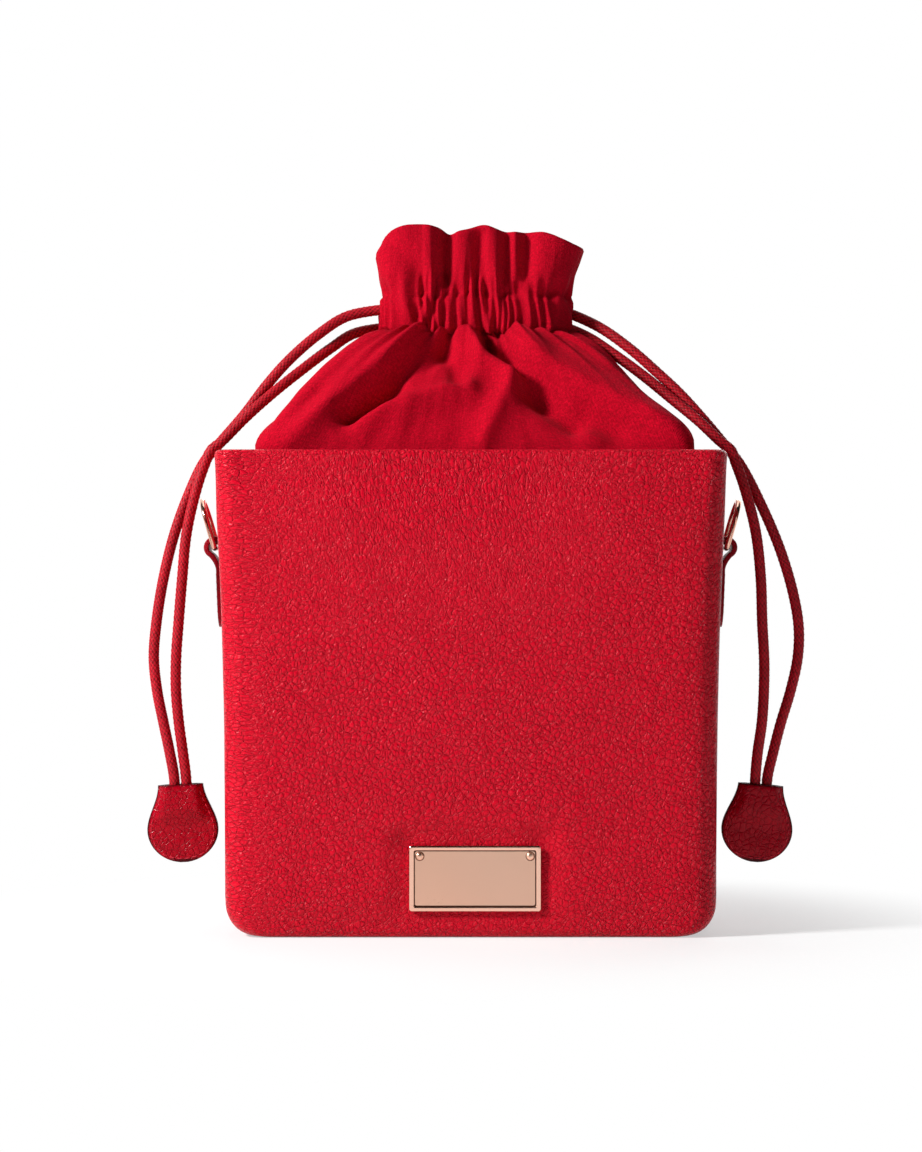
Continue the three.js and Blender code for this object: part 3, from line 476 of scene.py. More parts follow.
def cord_material(name, color, deep, braided=True):
    """Twisted fibres; a braided cord has painted shade in the hollows of its braid."""
    s = Shader(name)
    place = s.coords()
    fibre = s.noise(place, 2200.0, 3.0, 0.6).outputs[0]
    tone = s.ramp(s.noise(place, 120.0, 2.0).outputs[0], 0.3, 0.7, 0.8, 1.0)
    if braided:
        # Painted shade: the colour darkens in the hollows of the braid.
        tone = s.times(s.ramp(s.painted("braid"), 0.05, 0.75), tone)
    return s.set(color=s.blend(tone, deep, color), roughness=0.5, specular=0.16, sheen=0.04,
                 sheen_roughness=0.4, sheen_tint=(1.0, 0.2, 0.25), normal=s.bump(fibre, 0.00012, 0.8))


def metal_material(name, color, roughness):
    """Plated metal: a slow drift in its polish and very fine scratches."""
    s = Shader(name)
    drift = s.noise(s.coords(), 22.0, 1.0).outputs[0]
    scratch = s.noise(s.coords("Object", (30, 1, 700)), 10.0, 2.0).outputs[0]
    rough = s.total((s.ramp(drift, 0.3, 0.7, roughness * 0.85, roughness * 1.15), 1.0), (scratch, 0.05))
    warm = tuple(c * shade for c, shade in zip(color, (0.97, 0.92, 0.90)))
    return s.set(color=s.blend(s.ramp(drift, 0.3, 0.7), warm, color), metallic=1.0, roughness=rough,
                 normal=s.bump(scratch, 0.000004, 0.3))


def plain_material(name, color, deep, scale, depth, roughness):
    """For what is hidden inside: boards and padding, with fibres of their own."""
    s = Shader(name)
    fibre = s.noise(s.coords(), scale, 4.0, 0.65, 0.4).outputs[0]
    return s.set(color=s.blend(s.ramp(fibre, 0.3, 0.7), deep, color), roughness=roughness,
                 normal=s.bump(fibre, depth, 0.6))


# The dark red is the leather's colour in its painted crease shade and its darker random tone.
RED, SHADE_AND_TONE_RED = (0.60, 0.003, 0.019), (0.34, 0.0006, 0.007)
leather = leather_material("leather_red", RED, SHADE_AND_TONE_RED, regions=True)
fob_leather = leather_material("leather_fob", (0.36, 0.0012, 0.010), (0.05, 0.0002, 0.002), 420.0, 0.00022,
                               gloss=0.12)
tab_leather = leather_material("leather_tab", (0.32, 0.002, 0.012), (0.16, 0.0006, 0.004), 900.0, 0.00014)
top_fabric = fabric_material("top_cloth", (0.62, 0.001, 0.019), (0.20, 0.0004, 0.005))
lining_cloth = fabric_material("lining_cloth", (0.26, 0.002, 0.008), (0.12, 0.0005, 0.002), 0.0006)
cord_cloth = cord_material("cord_cloth", (0.50, 0.006, 0.018), (0.09, 0.0004, 0.002))
thread_red = cord_material("thread_red", (0.52, 0.02, 0.04), (0.30, 0.004, 0.01), braided=False)
rose_gold = metal_material("rose_gold", (0.92, 0.56, 0.43), 0.12)
plate_gold = metal_material("plate_gold", (0.93, 0.58, 0.43), 0.30)
# A dark metal for grooves: painted shade on the walls down into the plate's recess and round the pins.
plate_groove_shade = metal_material("plate_groove_shade", (0.20, 0.09, 0.06), 0.55)
board_material = plain_material("greyboard", (0.42, 0.32, 0.22), (0.30, 0.22, 0.14), 700.0, 0.0001, 0.9)
foam_material = plain_material("felt_padding", (0.80, 0.77, 0.70), (0.62, 0.58, 0.52), 900.0, 0.0003, 0.95)


# The box

def body_half_sizes(z):
    """Half width and half depth of the box at a height."""
    rise = clamp01(z / BODY_HEIGHT) ** FLARE_POWER
    return mix(BASE_WIDTH, RIM_WIDTH, rise) / 2, mix(BASE_DEPTH, RIM_DEPTH, rise) / 2


def bottom_inset(z, radius, inset):
    """How far the bottom's rounded edge draws in at a height."""
    arc = np.maximum(radius - inset, 0.6)
    below = np.minimum(np.maximum(radius - z, 0), arc)
    return arc - np.sqrt(arc * arc - below * below)


def stretches(half_width, half_depth, radius):
    """Lengths of a rounded rectangle's half side, corner and front."""
    return half_depth - radius, math.pi / 2 * radius, 2 * (half_width - radius)


def outline_at(half_width, half_depth, radius, along):
    """Points and outward directions of a rounded rectangle, from (+X, 0) by the front to (-X, 0)."""
    short, arc, long = stretches(half_width, half_depth, radius)

    def passed(start, length):
        return np.clip(along - start, 0, length)

    turn = (passed(short, arc) + passed(short + arc + long, arc)) / radius
    nx, ny = np.cos(turn), -np.sin(turn)
    x = half_width - radius - passed(short + arc, long) + radius * nx
    y = passed(short + 2 * arc + long, short) - passed(0, short) + radius * ny
    return x, y, nx, ny


def front_half(half_width, half_depth, radius):
    """The front half of a rounded rectangle, each stretch divided by its own number of steps."""
    short, arc, long = stretches(half_width, half_depth, radius)
    ends = np.cumsum([0, short, arc, long, arc, short])
    steps = (SIDE_STEPS, CORNER_STEPS, FACE_STEPS, CORNER_STEPS, SIDE_STEPS)
    along = [np.linspace(start, end, count, endpoint=False)
             for start, end, count in zip(ends, ends[1:], steps)]
    x, y, nx, ny = outline_at(half_width, half_depth, radius, np.concatenate(along + [ends[-1:]]))
    return np.stack([x, y], 1), np.stack([nx, ny], 1)


def leather_path(depth_in):
    """Rows of height, inset and turn-in from the edge under the base to the edge inside the rim."""
    rows = [(depth_in, depth_in, turn) for turn in (BOTTOM_TURN_IN, 5.0, 2.0)]
    for share in (1 - np.cos(np.linspace(0, math.pi / 2, 14))):
        rows.append((mix(depth_in, END_BOTTOM_RADIUS, share), depth_in, 0.0))
    straight_top = BODY_HEIGHT - RIM_RADIUS
    for share in np.linspace(0, 1, 130)[1:]:
        rows.append((mix(END_BOTTOM_RADIUS, straight_top, share), depth_in, 0.0))
    roll = RIM_RADIUS - depth_in
    for turn in np.linspace(0, math.pi, 11)[1:]:
        rows.append((straight_top + roll * math.sin(turn), RIM_RADIUS - roll * math.cos(turn), 0.0))
    for share in np.linspace(0, 1, 8)[1:]:
        rows.append((mix(straight_top, BODY_HEIGHT - RIM_TURN_DOWN, share), RIM_RADIUS + roll, 0.0))
    return rows


def plate_mask(x, z):
    """1 under the plate, falling to 0 round it."""
    dx = np.maximum(np.abs(x - PLATE_X) - PLATE_WIDTH / 2 - DENT_MARGIN, 0)
    dz = np.maximum(np.abs(z - PLATE_Z) - PLATE_HEIGHT / 2 - DENT_MARGIN, 0)
    return 1 - smooth(np.hypot(dx, dz) / DENT_REACH)


def leather_swell(points, front):
    """How far the padded leather stands out, with soft dents and the pressed place round the plate."""
    x, y, z = points[:, 0], points[:, 1], points[:, 2]
    half_width, half_depth = body_half_sizes(z)
    up = smooth((z - SWELL_END) / SWELL_FOOT) * smooth((BODY_HEIGHT - SWELL_END - z) / SWELL_RIM)
    on_face = smooth((half_width - np.abs(x)) / SWELL_FACE)
    on_side = smooth((half_depth - np.abs(y)) / SWELL_SIDE)
    swell = up * np.maximum(on_face, 0.6 * on_side)
    out = PADDING_SWELL * swell
    if front:
        mask = plate_mask(x, z)
        out = out * (1 - mask)
        for corner in (-1, 1):
            # A dent and a fan of creases at each upper corner of the plate
            dx = x - (PLATE_X + corner * (PLATE_WIDTH / 2 + CREASE_START))
            dz = z - (PLATE_Z + PLATE_HEIGHT / 2 + CREASE_START)
            reach = np.hypot(dx, dz)
            angle = np.arctan2(dz, corner * dx)
            rays = np.abs(np.cos(5.5 * angle + 1.3 * corner + 0.05 * reach)) ** 0.7
            fade = np.exp(-((reach - CREASE_REACH) / CREASE_SPREAD) ** 2)
            fade = fade * smooth(reach / 4) * smooth((dz + 7) / 8)
            out = out + CREASE_HEIGHT * rays * fade - CORNER_DENT * np.exp(-((reach / CREASE_REACH) ** 2))
    broad = noise3(x * 0.021, y * 0.021 + 7, z * 0.021)
    soft = noise3(x * 0.06, y * 0.06, z * 0.045 + 31)
    keep = smooth((z - 1.5) / 5)
    return out + keep * swell * (BROAD_WAVES * broad + SOFT_WAVES * soft)


def leather_panel(name, front):
    """One half of the outer leather, from under the base over the rim, with its padded outside."""
    side = 1 if front else -1
    grids = []
    for depth_in in (0.0, LEATHER):
        rows = []
        for z, inset, turn_in in leather_path(depth_in):
            half_width, half_depth = body_half_sizes(z)
            flat, normals = front_half(
                half_width - inset - bottom_inset(z, END_BOTTOM_RADIUS, inset) - turn_in,
                half_depth - inset - bottom_inset(z, FACE_BOTTOM_RADIUS, inset) - turn_in,
                max(EDGE_RADIUS - inset, 0.8))
            rows.append(np.concatenate([flat, np.full((len(flat), 1), z), normals], 1))
        grids.append(np.array(rows))
    outer, inner = grids
    rows, columns = outer.shape[:2]
    exposed = outer.reshape(-1, 5).copy()
    path = leather_path(0.0)
    on_outside = np.array([1.0 if row[1] < RIM_RADIUS * 0.5 and row[2] == 0 else 0.0 for row in path])
    height = leather_swell(exposed[:, :3] * [1, side, 1], front) * np.repeat(on_outside, columns)
    seam = np.exp(-((exposed[:, 1] / SEAM_HALF) ** 2)) * (np.abs(exposed[:, 0]) > BASE_WIDTH / 4)
    height -= SEAM_DEPTH * seam
    exposed[:, :2] += exposed[:, 3:] * height[:, None]
    outer = exposed.reshape(rows, columns, 5)[:, :, :3].copy()
    inner = inner[:, :, :3].copy()
    for grid in (outer, inner):
        grid[:, 0, 1] -= CLEAR / 2
        grid[:, -1, 1] -= CLEAR / 2
        grid[:, :, 1] *= side
    return sheet_object(name, outer, inner, leather)


def build_box():
    for name, front in (("leather_front", True), ("leather_back", False)):
        panel = leather_panel(name + "_panel", front)
        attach(panel, ROOT)
        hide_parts(name)


# The gathered top. Folds are strokes seen from the front: (x, z) points, height and half width.
# The fold strokes are the part's own, and the sharp ones are finer creases on them.

FOLD_STROKES = [
    ([(-14, 241), (-31, 228), (-49, 211), (-72, 191)], 3.4, 6.5),
    ([(-13, 231), (-30, 217), (-47, 204)], -4.2, 5),
    ([(-40, 212), (-48, 204)], -1.6, 4.5),
    ([(-44, 200), (-30, 205), (-13, 210), (-2, 213)], 2.6, 5.5),
    ([(-12, 235), (-25, 219)], 2, 3.2),
    ([(-9, 232), (-5, 216)], -2.2, 3.6),
    ([(-2, 236), (5, 227), (18, 218)], 3, 4.2),
    ([(18, 218), (10, 203), (4, 191)], 1.8, 6),
    ([(8, 233), (25, 214), (40, 201)], -4.4, 5.2),
    ([(20, 238), (31, 224), (44, 216), (64, 205), (84, 193)], 3.4, 7),
    ([(46, 207), (58, 200)], -1.6, 5),
    ([(34, 206), (50, 193)], 1.4, 5),
    ([(-88, 190), (-64, 214), (-42, 232)], 0.8, 6),
]
SHARP_STROKES = [
    ([(-15, 239), (-31, 227), (-49, 210), (-70, 192)], 1.3, 2.6),
    ([(-17, 231), (-31, 216), (-46, 203)], -2.0, 3.2),
    ([(-46, 201), (-30, 206), (-13, 211), (0, 214)], 1.0, 2.4),
    ([(-2, 237), (5, 227), (17, 219)], 1.6, 2.0),
    ([(17, 219), (12, 207), (5, 192)], 1.4, 2.8),
    ([(30, 216), (44, 205), (60, 195)], -3.6, 8.0),
    ([(12, 234), (30, 222), (48, 211), (84, 192)], 2.2, 3.2),
    ([(-60, 212), (-84, 191)], -1.3, 3.5),
    ([(-24, 206), (-30, 192)], 0.9, 3.0),
    ([(60, 222), (92, 190)], -0.9, 4.0),
]
RUFFLE_STROKES = [
    ([(-27, 256), (-30, 281)], 3.5, 9),
    ([(-29, 275), (-20, 259)], -2.2, 3.5),
    ([(-16.5, 256), (-16.5, 281)], 2.6, 3.2),
    ([(-9.8, 257), (-9.5, 281)], -5.0, 2.6),
    ([(-3, 256), (-3, 281)], 2.0, 4.5),
    ([(2.5, 256), (4.5, 276)], -2.2, 2.8),
    ([(10, 256), (7, 281)], 3.2, 4.2),
    ([(14, 258), (14.3, 281)], -2.6, 2.2),
    ([(17.6, 257), (17.6, 281)], 1.9, 2.2),
    ([(22.2, 256), (22.5, 281)], -3.6, 3),
    ([(28, 258), (33, 281)], 3.6, 8),
]
RUFFLE_EDGE = [(-21, 3.0, 12), (-8, -1.6, 2.6), (5, 2.6, 6)]


def stroke_distance(path, x, z):
    """How far each point is from a stroke, seen from the front."""
    nearest = np.full(x.shape, 1e9)
    for (ax, az), (bx, bz) in zip(path, path[1:]):
        along = clamp01(((x - ax) * (bx - ax) + (z - az) * (bz - az)) / ((bx - ax) ** 2 + (bz - az) ** 2))
        nearest = np.minimum(nearest, np.hypot(x - mix(ax, bx, along), z - mix(az, bz, along)))
    return nearest


def stroke_height(strokes, x, y, z, facing_depth):
    """The back has the front's folds, turned round the middle."""
    view_x = np.where(y > 0, -x, x)
    total = np.zeros(x.shape)
    for path, height, width in strokes:
        total += height * np.exp(-(stroke_distance(path, view_x, z) / width) ** 2)
    return total * smooth(np.abs(y) / facing_depth)


def ridges(phase, power):
    """1 along each ridge, 0 between two; a higher power makes the ridges narrower."""
    return (0.5 + 0.5 * np.cos(2 * math.pi * phase)) ** power


def pleat_wave(u):
    """Height of the pleats, with uneven widths and strengths round the loop."""
    ring = 2 * math.pi * u
    phase = PLEATS * u + 0.22 * np.sin(3 * ring + 1) + 0.16 * np.sin(7 * ring + 2.3)
    return PLEAT_HEIGHT * (0.78 + 0.22 * np.sin(5 * ring + 1.7)) * ridges(phase, 1.3)


def loop_points(half_width, half_depth, radius, u):
    """Points and outward directions a share u of the way round from +X towards -Y."""
    back = u > 0.5
    half = np.dot(stretches(half_width, half_depth, radius), (2, 2, 1))
    x, y, nx, ny = outline_at(half_width, half_depth, radius, np.where(back, 1 - u, u) * 2 * half)
    flip = np.where(back, -1.0, 1.0)
    return x, flip * y, nx, flip * ny


HEM_INSET = RIM_THICKNESS + CLEAR
SEAM_CORNER = max(EDGE_RADIUS - HEM_INSET, 1.0)
CHANNEL_WALL = CORD_RADIUS + CLEAR + 0.9


def hem_points(u, height):
    """Round the inside of the rim, where the cloth is sewn in."""
    half_width, half_depth = body_half_sizes(height)
    return loop_points(half_width - HEM_INSET, half_depth - HEM_INSET, SEAM_CORNER, u)


def cord_points(u):
    """Round the cord's loop in the channel."""
    x, y, nx, ny = loop_points(LOOP_HALF_WIDTH, LOOP_HALF_DEPTH, LOOP_HALF_DEPTH, u)
    return x + NECK_X, y, nx, ny


def moved(base, direction, distance):
    return np.stack([b + d * distance for b, d in zip(base, direction)], -1)


def drift(u, z):
    """How far the gathers wander sideways at a height, as a share of the loop."""
    ring = 2 * math.pi * u
    return 0.011 * noise3(2.4 * np.cos(ring) + 5, 2.4 * np.sin(ring), np.broadcast_to(z, u.shape) * 0.055)


def gathers(u, z):
    """Fine uneven gathers that run from the slope through the channel into the ruffle."""
    ring = 2 * math.pi * u
    phase = GATHERS * (u + 1.3 * drift(u, z)) + 0.45 * np.sin(5 * ring + 1) + 0.3 * np.sin(11 * ring)
    place = (3.4 * np.cos(ring), 3.4 * np.sin(ring) + 9, np.broadcast_to(z, u.shape) * 0.06)
    return (0.75 + 0.6 * noise3(*place)) * ridges(phase, 1.4)


def stitch_wander(u, z):
    """How far the gathers pull the two stitch lines of the channel up and down."""
    ring = 2 * math.pi * u
    wave = noise3(4.5 * np.cos(ring), 4.5 * np.sin(ring), 3.0)
    wave = wave + 0.6 * noise3(11 * np.cos(ring), 11 * np.sin(ring), 8.0)
    near = np.exp(-((z - CHANNEL_TOP) / 6) ** 2) + np.exp(-((z - NECK_HEIGHT) / 5) ** 2)
    return STITCH_WANDER * wave * near


def fabric_detail(base, u, strength):
    """Small wrinkles: long ones that run up the cloth, and a light crumple."""
    x, y, z = (np.broadcast_to(b, u.shape) for b in base)
    ring = 2 * math.pi * u
    long = 1 - 2 * np.abs(noise3(9 * np.cos(ring), 9 * np.sin(ring), z * 0.018))
    crumple = noise3(x * 0.11, y * 0.11, z * 0.13)
    return strength * (0.4 * long + 0.5 * crumple)


def slope_row(share, u):
    """Outside and inside of the slope a share of the way from the rim to the neck."""
    hx, hy, hnx, hny = hem_points(u, SEAM_HEIGHT)
    cx, cy, cnx, cny = cord_points(u)
    z = mix(SEAM_HEIGHT, NECK_HEIGHT, 1 - (1 - share) ** SLOPE_BULGE)
    base = (mix(hx, cx, share), mix(hy, cy, share), z + stitch_wander(u, z) * smooth((share - 0.8) / 0.15))
    off_seam, near_neck = smooth(share / 0.25), smooth((share - 0.9) / 0.1)
    tilt = SLOPE_TILT * off_seam * (1 - near_neck) + NECK_TILT * near_neck
    px, py = mix(hnx, cnx, share), mix(hny, cny, share)
    size = np.hypot(px, py)
    direction = (px / size * math.cos(tilt), py / size * math.cos(tilt), np.full(u.shape, math.sin(tilt)))
    pleats = NECK_PLEAT * pleat_wave(u) * smooth((share - 0.3) / 0.7)
    pleats = pleats + GATHER_HEIGHT * gathers(u, z) * smooth((share - 0.55) / 0.4)
    strokes = FOLD_DEPTH * stroke_height(FOLD_STROKES, *base, 12) + stroke_height(SHARP_STROKES, *base, 12)
    folds = strokes * smooth(share / 0.3) * smooth((1 - share) / 0.12)
    small = fabric_detail(base, u, smooth(share / 0.15) * mix(0.9, 0.5, share))
    out = pleats + folds + small
    thickness = mix(FABRIC, 2 * STITCH_HALF, smooth((share - 0.8) / 0.2))
    return moved(base, direction, out), moved(base, direction, out - thickness)


def slant(u):
    """How far the pleats lean sideways on their way up the channel, as a share of the loop."""
    return PLEAT_SLANT * np.sin(6 * math.pi * u + 1)


def hem_row(u):
    x, y, nx, ny = hem_points(u, HEM_BOTTOM)
    base, direction = (x, y, np.full(u.shape, HEM_BOTTOM)), (nx, ny, np.zeros(u.shape))
    return moved(base, direction, 0.0), moved(base, direction, -FABRIC)


def channel_row(share, u):
    """Outside and inside of the channel round the cords, a share of the way up."""
    x, y, nx, ny = cord_points(u)
    z = mix(NECK_HEIGHT, CHANNEL_TOP, share)
    bulge = float(smooth((0.5 - abs(share - 0.5)) / 0.17))
    wall = mix(STITCH_HALF + 0.8 * share, CHANNEL_WALL, bulge)
    lean = u + share * slant(u) + drift(u, z)
    lean = lean - (1 - share) * drift(u, NECK_HEIGHT) - share * drift(u, CHANNEL_TOP)
    pleats = mix(NECK_PLEAT, CHANNEL_PLEAT, bulge) * pleat_wave(lean)
    fine = mix(GATHER_HEIGHT, CHANNEL_GATHER, bulge) * gathers(u, z)
    inner = INNER_PLEAT * pleat_wave(u + 0.5 / PLEATS)
    base, direction = (x, y, z + stitch_wander(u, z)), (nx, ny, np.zeros(u.shape))
    small = fabric_detail(base, u, 0.4)
    return moved(base, direction, wall + pleats + fine + small), moved(base, direction, -wall - inner)


def ruffle_lift(x, y):
    """How high the ruffle's top edge stands over its even height."""
    view_x = np.where(y > 0, -x, x)
    lift = sum(height * np.exp(-((view_x - at) / width) ** 2) for at, height, width in RUFFLE_EDGE)
    end = smooth((np.abs(x - NECK_X) - 25) / 9)
    drop = np.where(x > NECK_X, RUFFLE_DROP_RIGHT, RUFFLE_DROP_LEFT)
    return lift * smooth(np.abs(y) / 9) - drop * end


def ruffle_row(share, u):
    """Outside and inside of the ruffle a share of the way up."""
    x, y, nx, ny = cord_points(u)
    z = CHANNEL_TOP + (RUFFLE_HEIGHT + ruffle_lift(x, y)) * share
    base, direction = (x, y, z + stitch_wander(u, z)), (nx, ny, np.zeros(u.shape))
    endness = nx * nx
    left_curl = np.where(nx < 0, RUFFLE_CURL_LEFT * endness, 0.0) * smooth((share - 0.7) / 0.3)
    end_flare = np.where(nx < 0, RUFFLE_FLARE_LEFT, RUFFLE_FLARE_RIGHT)
    flare = mix(RUFFLE_FLARE_FRONT, end_flare, endness) * share ** 0.8 - left_curl
    folds = stroke_height(RUFFLE_STROKES, x, y, z, 9) * smooth(share / 0.35)
    fine = NECK_PLEAT * pleat_wave(u + slant(u)) * (1 - share) ** 3
    fine = fine + GATHER_HEIGHT * gathers(u, z) * (1 - smooth(share / 0.5))
    small = fabric_detail(base, u, 0.5)
    out = flare + folds + fine + small
    half = RUFFLE_HALF
    if share > RUFFLE_EDGE_START:
        half *= 1.25 - 0.9 * smooth((share - RUFFLE_EDGE_START) / (1 - RUFFLE_EDGE_START))
    return moved(base, direction, out + RUFFLE_HALF + half), moved(base, direction, out + RUFFLE_HALF - half)


def build_top():
    u = np.arange(TOP_COLUMNS) / TOP_COLUMNS
    rows = [hem_row(u)]
    rows += [slope_row(share, u) for share in np.linspace(0, 1, SLOPE_ROWS)[:-1]]
    rows += [channel_row(share, u) for share in np.linspace(0, 1, CHANNEL_ROWS)]
    rows += [ruffle_row(share, u) for share in np.linspace(0, 1, RUFFLE_ROWS)[1:]]
    outside = np.array([row[0] for row in rows])
    inside = np.array([row[1] for row in rows])
    around = u * CLOTH_AROUND
    step = np.linalg.norm(np.diff(outside, axis=0), axis=2).mean(1)
    up = np.concatenate([[0], np.cumsum(step)])
    uvs = np.stack(np.meshgrid(around, up), -1)
    top = sheet_object("gathered_cloth", outside, inside, top_fabric, wrap=True, uvs=uvs)
    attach(top, ROOT)
    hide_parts("gathered_top")


# Drawstrings: the same points as the part

CHANNEL_MIDDLE = NECK_HEIGHT + CHANNEL_HEIGHT / 2 - 0.4
UPPER = CHANNEL_MIDDLE + CORD_LEVEL_GAP / 2
LOWER = CHANNEL_MIDDLE - CORD_LEVEL_GAP / 2
LEFT_OUTER = [
    (-117.2, -22, 50), (-117.3, -22, 60), (-119, -22, 70), (-121.6, -21, 82), (-124.3, -20, 95),
    (-125.7, -19, 108), (-124.7, -18.5, 122), (-121.9, -18.5, 139.5), (-117.6, -18.5, 157),
    (-111.4, -18.5, 174), (-105.8, -18.5, 185.6), (-99.2, -18.3, 193.6), (-90, -15.8, 204.6),
    (-81.2, -13, 216.6), (-72.2, -10.5, 227), (-60.6, -7.5, 237.4), (-49.5, -4.8, 244.6),
]
LEFT_INNER = [
    (-112.4, -22, 50), (-112.6, -22, 60), (-113.8, -22.2, 70), (-115.4, -22.6, 82), (-116.5, -23.2, 95),
    (-116.4, -24, 108), (-115.4, -24, 122.3), (-114, -24, 139.5), (-112.2, -24, 157.7),
    (-108.2, -24, 175.2), (-104.8, -24, 185.2), (-102.6, -24, 190), (-98.4, -23.5, 193.6), (-89.4, -21, 203),
    (-79.2, -17, 212.6), (-68, -11.4, 222.2), (-55.8, -5, 232), (-47, -0.4, 238),
]
RIGHT_OUTER = [
    (117.2, -22, 50), (117.4, -21.5, 60), (119.8, -20, 70), (122.9, -19, 81.6), (127, -18.5, 95),
    (129.8, -18.5, 108), (130.2, -18.5, 120), (128, -18.5, 133.5), (122.8, -18.5, 151),
    (115.4, -18.5, 168.5), (107, -18.5, 184.6), (100.2, -18.3, 193.2), (91.8, -15.4, 203.6),
    (83, -12.4, 213.6), (75, -9.6, 221.4), (63.8, -6.2, 231.6), (51, -1.2, 241),
]
RIGHT_INNER = [
    (112.4, -22, 50), (112.6, -22.4, 60), (113.4, -23, 70), (115.2, -24, 84), (116, -24, 104.6),
    (115.2, -24, 122.3), (114.6, -24, 140), (112.6, -24, 158), (108, -24, 176),
    (104.8, -24, 185), (102.9, -24, 190), (98.7, -23.4, 193.6), (90.4, -20.2, 201.8), (80.6, -15.4, 210.4),
    (69, -10.6, 220.4), (57.6, -6.2, 229.2), (47, -3.8, 236.4),
]


def neck_run(side, front_level, back_level):
    """The way of a cord through the channel, from its exit at the front to its exit at the back."""
    middle, swing = (front_level + back_level) / 2, (back_level - front_level) / 2
    straight = LOOP_HALF_WIDTH - LOOP_HALF_DEPTH
    exit_x = straight + LOOP_HALF_DEPTH * math.cos(math.pi / 4)
    exit_y = LOOP_HALF_DEPTH * math.sin(math.pi / 4)

    def leave(depth_side, level):
        return [
            (NECK_X + side * (exit_x + 3.6), depth_side * exit_y * 0.55, level),
            (NECK_X + side * exit_x, depth_side * exit_y, level),
            (NECK_X + side * mix(straight, exit_x, 0.55), depth_side * LOOP_HALF_DEPTH * 0.93, level),
        ]

    def along(depth_side, level):
        return [(NECK_X + side * share * straight, depth_side * LOOP_HALF_DEPTH, level)
                for share in (0.9, 0, -0.9)]

    points = leave(-1, front_level) + along(-1, front_level)
    for degrees in (-60, -35, -12, 12, 35, 60):
        turn = math.radians(degrees)
        blend = math.sin(math.pi / 2 * max(-1, min(1, degrees / 40)))
        points.append((NECK_X - side * (straight + LOOP_HALF_DEPTH * math.cos(turn)),
                       LOOP_HALF_DEPTH * math.sin(turn), middle + swing * blend))
    return points + along(1, back_level)[::-1] + leave(1, back_level)[::-1]


def braided_tube(name, line):
    """A cord of two crossing sets of strands, as geometry and as a colour layer that paints shade in its
    hollows.
    """
    first, second = path_frames(line)
    turn = np.arange(CORD_SIDES) / CORD_SIDES * 2 * math.pi
    along = math.pi / BRAID_PITCH * length_along(line)[:, None]
    braid = np.abs(np.sin(4 * turn + along) * np.sin(4 * turn - along)) ** 0.6
    radius = CORD_RADIUS + BRAID_DEPTH * (braid - 1)
    rings = line[:, None, :] + radius[:, :, None] * (
        first[:, None, :] * np.cos(turn)[None, :, None] + second[:, None, :] * np.sin(turn)[None, :, None])
    tube = tube_object(name, rings, cord_cloth)
    # The braid's crowns and hollows, kept for the painted shade in the cord's colour.
    paint(tube, "braid", braid)
    return tube


def build_cords():
    """Each drawstring is one line, cut into two free strands and the neck between them."""
    runs = {
        "left": (LEFT_OUTER, neck_run(-1, UPPER, LOWER), LEFT_INNER, ("outer", "inner")),
        "right": (RIGHT_INNER, neck_run(1, LOWER, UPPER), RIGHT_OUTER, ("inner", "outer")),
    }
    for side, (rise, neck, fall, names) in runs.items():
        line = catmull_rom(rise + neck + fall[::-1], CORD_STEP)
        start = int(np.argmin(np.linalg.norm(line - np.array(neck[0]), axis=1)))
        end = int(np.argmin(np.linalg.norm(line - np.array(neck[-1]), axis=1)))
        pieces = {names[0]: line[:start + 1][::-1], names[1]: line[end:], "neck": line[start:end + 1]}
        for part, route in pieces.items():
            tube = braided_tube(f"{side}_cord_{part}", route)
            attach(tube, ROOT)
            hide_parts(f"drawstring_{side}")
            if part == "neck":
                continue


# Fobs

def fob_half_width(share):
    """Half width of a fob a share of the way down."""
    if share < FOB_WIDEST:
        return mix(FOB_TOP_HALF, FOB_HALF, float(smooth(share / FOB_WIDEST)))
    past = (share - FOB_WIDEST) / (1 - FOB_WIDEST)
    return max(FOB_HALF * math.sqrt(max(1 - past * past, 0)), 1.6)


def fob_surface(share, across, extra):
    """Sideways, depth and height of a point on a fob's leather."""
    half = fob_half_width(share)
    depth = share * FOB_HEIGHT
    fade = 1 - float(smooth((depth - FOB_POCKET_DEPTH) / (FOB_POCKET_FADE - FOB_POCKET_DEPTH)))
    x = across * half
    flank = clamp01((half - abs(x)) / (half - 2 * CORD_RADIUS - 2 * CLEAR))
    swell = (CORD_RADIUS + CLEAR) * fade * float(smooth(min(1, 1.15 * flank)))
    return x, CLEAR / 2 + swell + extra, -depth


def fob_place(side, point):
    """From a fob's own place to the object's, hung and tilted."""
    x, tilt = FOB_PLACES[side]
    turn = math.radians(-tilt)
    px, py, pz = point
    return (x + px * math.cos(turn) + pz * math.sin(turn), FOB_DEPTH_PLACE + py,
            FOB_TOP - px * math.sin(turn) + pz * math.cos(turn))


def stitch_object(name, line, out):
    """A row of short raised stitches along a line, on a face that looks the way out."""
    measure = length_along(line)
    points, faces = [], []
    start = 0.5 * STITCH_GAP
    while start + STITCH_LENGTH < measure[-1]:
        faces += tube_faces(STITCH_RINGS, STITCH_SIDES, first=len(points))
        for share in np.linspace(0, 1, STITCH_RINGS):
            at = start + share * STITCH_LENGTH + np.array([0.0, 0.05])
            centre, ahead = np.stack([np.interp(at, measure, line[:, axis]) for axis in range(3)], 1)
            across = np.cross(ahead - centre, out)
            across /= np.linalg.norm(across) + 1e-12
            arch = math.sin(math.pi * share)
            middle = centre + out * STITCH_RADIUS * (0.7 * arch - 0.85)
            size = STITCH_RADIUS * (0.55 + 0.45 * arch)
            for turn in np.arange(STITCH_SIDES) / STITCH_SIDES * 2 * math.pi:
                points.append(middle + size * (across * math.cos(turn) + out * math.sin(turn)))
        start += STITCH_LENGTH + STITCH_GAP
    points = np.array(points)
    return link_mesh(name, points, facing_out(points, faces), thread_red)


